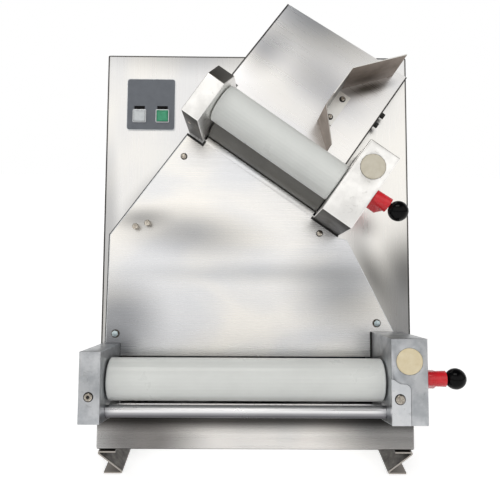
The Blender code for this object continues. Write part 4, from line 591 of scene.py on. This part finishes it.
def addPiece(name, solids, body, finish, replaced=(), sharp=35):
    whole = bmesh.new()
    for work, place in solids:
        bmesh.ops.transform(work, matrix=place, verts=work.verts)
        part = bpy.data.meshes.new(name)
        work.to_mesh(part)
        work.free()
        whole.from_mesh(part)
        bpy.data.meshes.remove(part)
    openEdges = sum(1 for edge in whole.edges if len(edge.link_faces) != 2)
    if openEdges:
        print("open edges on", name, openEdges)
    mesh = bpy.data.meshes.new(name)
    whole.to_mesh(mesh)
    whole.free()
    mesh.shade_smooth()
    mesh.set_sharp_from_angle(angle=math.radians(sharp))
    mesh.materials.append(finish)
    piece = bpy.data.objects.new(name, mesh)
    bpy.context.scene.collection.objects.link(piece)
    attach(piece, body)
    if replaced:
        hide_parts(*replaced)


# Knobs: a polished ball with a flat neck, on the plunger that drops into the head's index holes
knob = {"radius": 15.0, "rings": 26, "stem": 4.0, "neck": 6.0, "plunger": 3.0, "tip": 1.8, "flat": 1.5,
        "crankDepth": -109.45, "crankUp": 7.43, "steps": 48,
        "tips": {"lower": 251.8, "upper": 160.3}, "lengths": {"lower": 60.4, "upper": 57.7}}
for group, place in stages:
    length = knob["lengths"][group]
    middle = length - knob["radius"]
    first = math.asin(knob["neck"] / knob["radius"])
    profile = [(0, 0), (knob["tip"], 0), (knob["plunger"], knob["plunger"] - knob["tip"]),
               (knob["plunger"], knob["flat"]), (knob["stem"], knob["flat"]),
               (knob["stem"], middle - knob["radius"] * math.cos(first))]
    for step in range(knob["rings"] + 1):
        turn = first + (math.pi - first) * step / knob["rings"]
        radius = 0 if step == knob["rings"] else knob["radius"] * math.sin(turn)
        profile.append((radius, middle - knob["radius"] * math.cos(turn)))
    at = Vector((knob["tips"][group], knob["crankDepth"], knob["crankUp"])) * mm
    stand = place @ Matrix.Translation(at) @ Matrix.Rotation(math.radians(90), 4, "Y")
    addPiece(f"{group}_ball_knob", [(turnedSolid(profile, knob["steps"]), stand)],
             f"{group}_index_knob", slotFinishes["black_knob"], (f"{group}_knob",))

# Lever bodies: smoothed copies of the CAD's; the lower sleeve is shorter here, as the photograph has it
leverBody = {"edge": 0.7, "least": 40, "sharp": 40, "mouth": 1.0,
             "sleeveEnd": {"lower": 294.9, "upper": 187.7}, "shorter": {"lower": 13.0, "upper": 0.0}}
for group, place in stages:
    work = cadCopy(f"{group}_lever", place)
    mouthStart = (leverBody["sleeveEnd"][group] - leverBody["mouth"]) * mm
    mouth = [v for v in work.verts if v.co.x > mouthStart]
    bmesh.ops.translate(work, verts=mouth, vec=(-leverBody["shorter"][group] * mm, 0, 0))
    breakEdges(work, leverBody["edge"], leverBody["least"])
    addPiece(f"{group}_lever_body", [(work, place)], f"{group}_thickness_lever",
             slotFinishes["red_lever"], (f"{group}_lever",), leverBody["sharp"])

# Roller heads: copies of the CAD's with their sharp edges broken, so that the edges catch the light
heads = {"edge": 0.7, "least": 30, "shortest": 6.0, "sharp": 28,
         "names": ("lower_left_head", "lower_right_head", "lower_right_cover", "upper_left_head",
                   "upper_right_head")}
for name in heads["names"]:
    work = cadCopy(name)
    breakEdges(work, heads["edge"], heads["least"], heads["shortest"])
    addPiece(name + "_broken_edges", [(work, Matrix())], "machine", finishOf(name),
             (name,), heads["sharp"])

# Plugs in the right heads: turned, with a broken edge and a faint ring
plug = {"radius": 18.4, "deep": 4.0, "proud": 0.4, "edge": 0.3, "ring": 17.2, "ringDeep": 0.2,
        "lower": (227.5, 33.4, -126.8), "upper": (136.0, 38.5, -116.8)}
plugFinishes = {"lower": slotFinishes["cream_plug"], "upper": upperPlug}
for group, place in stages:
    radius, proud, edge, ring = plug["radius"], plug["proud"], plug["edge"], plug["ring"]
    profile = [(0, -plug["deep"]), (radius, -plug["deep"]), (radius, proud - edge), (radius - edge, proud),
               (ring + edge, proud), (ring, proud - plug["ringDeep"]), (ring - edge, proud), (0, proud)]
    addPiece(f"{group}_head_plug", [(turnedSolid(profile, 64), outward(place, *plug[group]))],
             "machine", plugFinishes[group], (f"{group}_plug",), 25)

# Control panel: silver line round the film, framed keys and their lamp windows
control = {
    "middle": (-176.5, 556.0), "size": (80.0, 87.0), "corner": 5.0, "front": -1.3,
    "line": 0.9, "lineOut": 0.2, "lineProud": 0.25, "lineBack": -0.1,
    "key": 18.8, "keyUp": 536.5, "keys": {"stop": -195.5, "start": -157.5},
    "keyFront": -4.8, "keyBack": 9.2, "keyEdge": 1.0, "keyRim": 1.7, "keyDip": (0.5, 0.7),
    "bezel": 1.5, "bezelProud": 1.5, "bezelBack": 0.3, "bezelCorner": 1.6, "bezelWall": 0.9,
    "lampUp": 550.1, "lamp": (17.4, 6.4), "lampProud": 0.9, "lampBack": 0.4, "lampEdge": 0.4,
    "ledge": 0.9, "ledgeProud": 1.1, "ledgeGap": 0.05, "ledgeEdge": 0.3,
}
front = control["front"]
x, z = control["middle"]
wide, high = (size / 2 + control["lineOut"] for size in control["size"])
low = (x - wide, front - control["lineProud"], z - high)
top = (x + wide, control["lineBack"], z + high)
trim = ringFrame(low, top, control["corner"], control["line"])
addPiece("control_panel_trim", [(trim, housingFrame)], "machine", silverTrimAndHighlight)
for name, slot in (("stop", "white_button"), ("start", "green_button")):
    x, z, half = control["keys"][name], control["keyUp"], control["key"] / 2
    key = roundedBlock((x - half, control["keyFront"], z - half), (x + half, control["keyBack"], z + half),
                       control["keyEdge"])
    face = [face for face in key.faces if face.normal.y < -0.9]
    bmesh.ops.inset_region(key, faces=face, thickness=control["keyRim"] * mm, depth=0)
    wall, dip = control["keyDip"]
    bmesh.ops.inset_region(key, faces=face, thickness=wall * mm, depth=-dip * mm)
    addPiece(f"{name}_key", [(key, housingFrame)], f"{name}_push", slotFinishes[slot],
             (f"{name}_button",))
rings, windows, ledges = [], [], []
for x in control["keys"].values():
    z, half = control["keyUp"], control["key"] / 2 + control["bezel"]
    low = (x - half, front - control["bezelProud"], z - half)
    top = (x + half, front + control["bezelBack"], z + half)
    rings.append((ringFrame(low, top, control["bezelCorner"], control["bezelWall"]), housingFrame))
    wide, high = (size / 2 for size in control["lamp"])
    z, back = control["lampUp"], front + control["lampBack"]
    low = (x - wide, front - control["lampProud"], z - high)
    windows.append((roundedBlock(low, (x + wide, back, z + high), control["lampEdge"]), housingFrame))
    low = (x - wide, front - control["ledgeProud"], z - high - control["ledge"])
    top = (x + wide, back, z - high - control["ledgeGap"])
    ledges.append((roundedBlock(low, top, control["ledgeEdge"]), housingFrame))
addPiece("key_bezels", rings, "machine", silverTrimAndHighlight)
addPiece("lamp_windows", windows, "machine", slotFinishes["black_knob"])
addPiece("lamp_ledges", ledges, "machine", silverTrimAndHighlight)


def onPanel(node):
    # along and up, in mm, of the middle of a CAD node that stands on the panel
    low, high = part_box(node)
    spot = housingFrame.inverted() @ ((low + high) / 2)
    return spot.x / mm, spot.z / mm


# Plate screws, each where its CAD screw is: hexagon heads below, domed ones on rubber washers above
zinc = slotFinishes["plated_steel"]
screw = {
    "washer": 6.6, "collar": 5.5, "thick": 1.0, "edge": 0.2, "under": 0.1, "shank": 2.5, "reach": 7.7,
    "seat": -2.6, "turn": 12, "sunk": 0.05, "hexagon": 5.4, "height": 3.6, "hexagonEdge": 0.5,
    "dome": [(0, 0), (4.6, 0), (4.6, 1.6), (4.1, 2.6), (3.0, 3.3), (1.4, 3.6), (0, 3.6)],
}
for name in ("lower_left", "lower_right", "upper_left", "upper_right"):
    node = f"plate_{name}_screw"
    hexed = name.startswith("lower")
    radius = screw["washer"] if hexed else screw["collar"]
    shank, reach, thick, edge = screw["shank"], screw["reach"], screw["thick"], screw["edge"]
    washer = turnedSolid([(0, -reach), (shank, -reach), (shank, screw["under"]), (radius, screw["under"]),
                          (radius, thick - edge), (radius - edge, thick), (0, thick)], 32)
    if hexed:
        top = hexagonHead(screw["hexagon"], screw["height"], screw["hexagonEdge"])
    else:
        top = turnedSolid(screw["dome"], 32)
    rise = Matrix.Translation((0, 0, (thick - screw["sunk"]) * mm))
    seat = outward(housingFrame, *onPanel(node), screw["seat"], screw["turn"])
    addPiece(f"{name}_plate_screw", [(top, seat @ rise)], "machine",
             zinc if hexed else brightScrew)
    # the hex heads' washers are dark for the shade round them: painted shade
    addPiece(f"{name}_plate_washer", [(washer, seat)], "machine", shadeDarkWasher if hexed else blackRubberAndShade,
             (node,))

# Stop pins: turned, with a shallow centre and a groove near the free end
pin = {"radius": 5.0, "length": 16.0, "edge": 0.9, "shank": 2.5, "reach": 7.7, "seat": 2.6, "groove": 12.6,
       "grooveDeep": 0.4, "centre": 1.2, "centreDeep": 0.8}
for side in ("left", "right"):
    node = f"{side}_stop_pin"
    radius, length, groove, dent = pin["radius"], pin["length"], pin["groove"], pin["grooveDeep"]
    profile = [(0, pin["seat"] - pin["reach"]), (pin["shank"], pin["seat"] - pin["reach"]),
               (pin["shank"], pin["seat"]), (radius, pin["seat"]), (radius, groove - dent),
               (radius - dent, groove), (radius, groove + dent), (radius, length - pin["edge"]),
               (radius - pin["edge"], length), (pin["centre"], length), (0, length - pin["centreDeep"])]
    addPiece(f"{side}_turned_pin", [(turnedSolid(profile, 32), outward(housingFrame, *onPanel(node)))],
             "machine", brightScrew, (node,))

# Socket screws on the heads: one in the lower left front, the others on the left sides and underneath
headScrews = {
    "shape": {"radius": 5.6, "height": 3.2, "edge": 0.9, "socket": 2.8, "depth": 2.5},
    "face": -126.8, "sink": 0.6, "front": (-217.6, -17.0), "turn": 20,
    # each side: its place along, how far its screws are sunk in it, and their (up, depth)
    "lower": (-232.0, 1.8, ((-38, -20), (28, -20), (28, -100))),
    "upper": (-140.5, 0.4, ((-38, -20), (28, -20))),
    "setShape": {"radius": 2.9, "height": 1.2, "edge": 0.3, "socket": 1.5, "depth": 0.9},
    "setPlace": (-130.4, -69.9, -54.5), "setSink": 0.6,
}
face = headScrews["face"]
solids = [(socketHead(**headScrews["shape"]),
           outward(lowerFrame, *headScrews["front"], face + headScrews["sink"], headScrews["turn"]))]
for group, place in stages:
    side, sink, spots = headScrews[group]
    for up, depth in spots:
        stand = (place @ Matrix.Translation(Vector((side + sink, depth, up)) * mm)
                 @ Matrix.Rotation(math.radians(-90), 4, "Y"))
        solids.append((socketHead(**headScrews["shape"]), stand))
along, depth, up = headScrews["setPlace"]
setScrew = (upperFrame @ Matrix.Translation(Vector((along, depth, up + headScrews["setSink"])) * mm)
            @ Matrix.Rotation(math.pi, 4, "X"))
solids.append((socketHead(**headScrews["setShape"]), setScrew))
addPiece("head_socket_screws", solids, "machine", brightScrew)

# The cover's slotted screw, and dark discs of painted shade round both screws in the lower heads' fronts
coverScrew = {"shape": {"radius": 6.4, "height": 3.0, "edge": 1.0, "slot": 2.2, "depth": 2.3},
              "place": (213.6, -18.6), "sink": 0.4, "turn": 35}
screwShadeDisc = {"head": 7.0, "cover": 7.6, "thick": 0.25, "sink": 0.05}
rings = []
for radius, spot in ((screwShadeDisc["head"], headScrews["front"]), (screwShadeDisc["cover"], coverScrew["place"])):
    disc = turnedSolid([(0, 0), (radius, 0), (radius, screwShadeDisc["thick"]), (0, screwShadeDisc["thick"])], 32)
    rings.append((disc, outward(lowerFrame, *spot, face + screwShadeDisc["sink"])))
addPiece("head_screw_painted_shade_discs", rings, "machine", blackRubberAndShade)
coverStand = outward(lowerFrame, *coverScrew["place"], face + coverScrew["sink"], coverScrew["turn"])
addPiece("cover_slotted_screw", [(slottedHead(**coverScrew["shape"]), coverStand)], "machine",
         brightScrew)

# Chute: two screws in the guide's flange, and two bolts on the chute's side
guide = {
    "shape": {"radius": 3.4, "height": 2.6, "edge": 0.7, "socket": 1.5, "depth": 1.6}, "seat": -2.85,
    "washer": [(0, 0), (5.2, 0), (5.2, 0.8), (5.0, 1.0), (0, 1.0)], "washerSeat": -1.9,
    "places": ((38.3, 73.3, 10), (38.6, 35.0, 65)),
}
guideScrews, guideWashers = [], []
for along, up, turn in guide["places"]:
    washer = turnedSolid(guide["washer"], 32)
    guideWashers.append((washer, outward(chuteFrame, along, up, guide["washerSeat"])))
    guideScrews.append((socketHead(**guide["shape"]), outward(chuteFrame, along, up, guide["seat"], turn)))
addPiece("guide_screws", guideScrews, "machine", brightScrew)
addPiece("guide_washers", guideWashers, "machine", blackRubberAndShade)
sideBolt = {"shape": {"radius": 4.5, "height": 6.4, "edge": 0.6, "socket": 1.9, "depth": 2.4},
            "side": 103.9, "depth": 9.0, "ups": (96.0, 76.0)}
solids = []
for up in sideBolt["ups"]:
    at = Vector((sideBolt["side"], sideBolt["depth"], up)) * mm
    stand = chuteFrame @ Matrix.Translation(at) @ Matrix.Rotation(math.radians(90), 4, "Y")
    solids.append((socketHead(**sideBolt["shape"]), stand))
addPiece("chute_side_bolts", solids, "machine", blackRubberAndShade)

# Rear cover: slotted screws round its edge, at shares of its width and height
backScrew = {"shape": {"radius": 3.9, "height": 2.1, "edge": 0.8, "slot": 1.1, "depth": 1.0},
             "sink": 0.2, "turn": 37}
backSpots = [(along, up) for along in (0.03, 0.35, 0.65, 0.97) for up in (0.02, 0.98)]
backSpots += [(along, up) for along in (0.03, 0.97) for up in (0.34, 0.66)]
backLow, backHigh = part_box("rear_cover")
solids = []
for number, (along, up) in enumerate(backSpots):
    at = Vector((backLow.x + (backHigh.x - backLow.x) * along, backHigh.y - backScrew["sink"] * mm,
                 backLow.z + (backHigh.z - backLow.z) * up))
    stand = (Matrix.Translation(at) @ Matrix.Rotation(math.radians(-90), 4, "X")
             @ Matrix.Rotation(math.radians(backScrew["turn"] * number), 4, "Z"))
    solids.append((slottedHead(**backScrew["shape"]), stand))
addPiece("rear_cover_screws", solids, "machine", zinc)
print("screws made")


# A dark strip of painted shadow follows the slide plate's free edges and its notches, dark lines of painted shadow
# fill the notches at the heads, and a painted highlight runs along the free edges; the edges along the rollers
# stay bare
plateEdgeLightAndShade = {
    "wide": 1.5, "proud": 1.9, "notch": 2.4, "notchProud": 0.5, "rim": 0.9, "rimProud": 0.12,
    "plateFront": -2.3, "sunk": 0.05, "shortest": 4.0,
    # half width and limit up the panel, from the middle of the lower and the upper roller
    "lowerOpening": (199, 31), "lowerNotch": 72, "upperOpening": (107, -56), "upperNotch": (160, -76),
}


def edgeKind(edge):
    # opening: along a roller; notch: cut out round a head; free: the rest of the outline
    middle = housingFrame @ ((edge.verts[0].co + edge.verts[1].co) / 2)
    lower, upper = lowerFrame.inverted() @ middle / mm, upperFrame.inverted() @ middle / mm
    lowerHalf, lowerTop = plateEdgeLightAndShade["lowerOpening"]
    upperHalf, upperFoot = plateEdgeLightAndShade["upperOpening"]
    notchHalf, notchFoot = plateEdgeLightAndShade["upperNotch"]
    atLower = abs(lower.x) < lowerHalf and lower.z < lowerTop
    atUpper = abs(upper.x) < upperHalf and upper.z > upperFoot
    if atLower or atUpper:
        return "opening"
    if lower.z < plateEdgeLightAndShade["lowerNotch"] or (abs(upper.x) < notchHalf and upper.z > notchFoot):
        return "notch"
    return "free"


def outlinePiece(name, wide, back, front, finish, kinds):
    # a strip along the plate's outer edges of the given kinds; a negative width lies outside them
    work = cadCopy("slide_plate", housingFrame)
    hidden = [face for face in work.faces if face.normal.y > -0.9]
    bmesh.ops.delete(work, geom=hidden, context="FACES")
    outline = [edge for edge in work.edges
               if edge.is_boundary and edge.calc_length() > plateEdgeLightAndShade["shortest"] * mm and edgeKind(edge) in kinds]
    bmesh.ops.delete(work, geom=work.faces[:], context="FACES_ONLY")
    bmesh.ops.delete(work, geom=[edge for edge in work.edges if edge not in outline], context="EDGES")
    bmesh.ops.delete(work, geom=[v for v in work.verts if not v.link_edges], context="VERTS")
    for v in work.verts:
        v.co.y = back * mm
    made = bmesh.ops.extrude_edge_only(work, edges=work.edges[:])["geom"]
    verts = vertsOf(made)
    bmesh.ops.translate(work, verts=verts, vec=(0, (front - back) * mm, 0))
    bmesh.ops.recalc_face_normals(work, faces=work.faces)
    bmesh.ops.solidify(work, geom=work.faces[:], thickness=wide * mm)
    bmesh.ops.recalc_face_normals(work, faces=work.faces)
    addPiece(name, [(work, housingFrame)], "machine", finish)


plateFront = plateEdgeLightAndShade["plateFront"]
outlinePiece("plate_edge_painted_shadow", -plateEdgeLightAndShade["wide"], 0.0, -plateEdgeLightAndShade["proud"], blackRubberAndShade, ("free", "notch"))
outlinePiece("head_notch_painted_shadow", plateEdgeLightAndShade["notch"], plateFront + plateEdgeLightAndShade["sunk"], plateFront - plateEdgeLightAndShade["notchProud"],
             blackRubberAndShade, ("notch",))
outlinePiece("plate_edge_painted_highlight", plateEdgeLightAndShade["rim"], plateFront + plateEdgeLightAndShade["sunk"], plateFront - plateEdgeLightAndShade["rimProud"],
             silverTrimAndHighlight, ("free",))
lip = {"low": (-107.5, -2.55, -54.5), "high": (107.5, -0.4, -44.2), "edge": 0.2}
addPiece("upper_opening_lip", [(roundedBlock(**lip), upperFrame)], "machine", steels["slide_plate"])
print("bead made")


# Floor and light
studio = {
    "floorSize": 14.0, "floorTones": ("#f4f4f4", "#f1f1f1"), "floorGlow": 0.62, "white": (1.0, 1.0, 1.0),
    # (sine of the height above the horizon, brightness) of the soft box wall in front
    "wall": [(0.0, 0.50), (0.10, 0.62), (0.20, 1.00), (0.33, 1.22), (0.55, 1.20), (0.67, 1.06),
             (0.75, 0.78), (0.82, 0.34), (0.90, 0.10), (1.0, 0.08)],
    "tint": (1.0, 0.99, 0.97), "sideDim": 0.30,
}
world = bpy.data.worlds.new("studio")
bpy.context.scene.world = world
world.use_nodes = True
tree = world.node_tree
tree.nodes.clear()
direction = addNode(tree, "ShaderNodeTexCoord", {}).outputs["Generated"]
axes = addNode(tree, "ShaderNodeSeparateXYZ", {"Vector": direction})
wall = addNode(tree, "ShaderNodeValToRGB", {"Fac": axes.outputs["Z"]})
stops = wall.color_ramp.elements
stops.remove(stops[1])
stops[0].position = 0
for height, level in studio["wall"]:
    stop = stops[0] if height == 0 else stops.new(height)
    stop.color = (*(level * part for part in studio["tint"]), 1)
aside = addNode(tree, "ShaderNodeMapRange", {
    "interpolation_type": "SMOOTHSTEP", "Value": axes.outputs["Y"], "From Min": -0.42, "From Max": 0.0,
    "To Min": 1.0, "To Max": studio["sideDim"]})
front = addNode(tree, "ShaderNodeMix", {
    "data_type": "RGBA", "blend_type": "MULTIPLY", "Factor": 1.0, 6: wall.outputs[0], 7: aside.outputs[0]})
# the white backdrop stands behind the machine and stops above the camera's view
behind = addNode(tree, "ShaderNodeMapRange", {
    "interpolation_type": "SMOOTHSTEP", "Value": axes.outputs["Y"], "From Min": 0.15, "From Max": 0.45})
below = addNode(tree, "ShaderNodeMapRange", {
    "interpolation_type": "SMOOTHSTEP", "Value": axes.outputs["Z"], "From Min": 0.62, "From Max": 0.38})
backdropShare = addNode(tree, "ShaderNodeMath", {
    "operation": "MULTIPLY", 0: behind.outputs[0], 1: below.outputs[0]})
allRound = addNode(tree, "ShaderNodeMix", {
    "data_type": "RGBA", "Factor": backdropShare.outputs[0], 6: front.outputs[2],
    7: (*studio["white"], 1)})
# the camera itself sees plain white all round
sight = addNode(tree, "ShaderNodeLightPath", {})
shown = addNode(tree, "ShaderNodeMix", {
    "data_type": "RGBA", "Factor": sight.outputs["Is Camera Ray"], 6: allRound.outputs[2],
    7: (*studio["white"], 1)})
light = addNode(tree, "ShaderNodeBackground", {"Color": shown.outputs[2], "Strength": 1.0})
addNode(tree, "ShaderNodeOutputWorld", {"Surface": light.outputs[0]})


def areaLamp(name, place, aim, size, watts, colour):
    data = bpy.data.lights.new(name, "AREA")
    data.shape = "RECTANGLE"
    data.size, data.size_y = size
    data.energy = watts
    data.color = colour
    lamp = bpy.data.objects.new(name, data)
    lamp.matrix_world = Matrix.Translation(place) @ (
        Vector(aim) - Vector(place)).to_track_quat("-Z", "Y").to_matrix().to_4x4()
    bpy.context.scene.collection.objects.link(lamp)


softbox = {"place": (-0.3, -0.75, 2.5), "aim": (0, 0, 0.35), "size": (1.3, 0.8), "watts": 11.0,
           "colour": (1.0, 0.98, 0.95)}
areaLamp("softbox", **softbox)

work = bmesh.new()
bmesh.ops.create_grid(work, x_segments=4, y_segments=4, size=studio["floorSize"] / 2)
mesh = bpy.data.meshes.new("floor")
work.to_mesh(mesh)
work.free()
floor = bpy.data.objects.new("floor", mesh)
bpy.context.scene.collection.objects.link(floor)
# Matt white paper: what the camera sees of it is lifted to white, and the object's shadow stays on it
material, tree, coords = startMaterial("paper_matt_white_floor")[:3]
mottle = addNode(tree, "ShaderNodeTexNoise", {"Vector": coords, "Scale": 3.0, "Detail": 2.0})
bright, dull = (tone(hexColour) for hexColour in studio["floorTones"])
colour = addNode(tree, "ShaderNodeMix", {
    "data_type": "RGBA", "Factor": mottle.outputs["Fac"], 6: bright, 7: dull})
paper = addNode(tree, "ShaderNodeBsdfDiffuse", {"Color": colour.outputs[2]})
rays = addNode(tree, "ShaderNodeLightPath", {})
seen = addNode(tree, "ShaderNodeMath", {
    "operation": "MAXIMUM", 0: rays.outputs["Is Camera Ray"], 1: rays.outputs["Is Glossy Ray"]})
seen = addNode(tree, "ShaderNodeMath", {
    "operation": "MAXIMUM", 0: seen.outputs[0], 1: rays.outputs["Is Transmission Ray"]})
glow = addNode(tree, "ShaderNodeMath", {
    "operation": "MULTIPLY", 0: seen.outputs[0], 1: studio["floorGlow"]})
lift = addNode(tree, "ShaderNodeEmission", {"Strength": glow.outputs[0]})
both = addNode(tree, "ShaderNodeAddShader", {0: paper.outputs[0], 1: lift.outputs[0]})
addNode(tree, "ShaderNodeOutputMaterial", {"Surface": both.outputs[0]})
mesh.materials.append(material)
print("floor and light made")
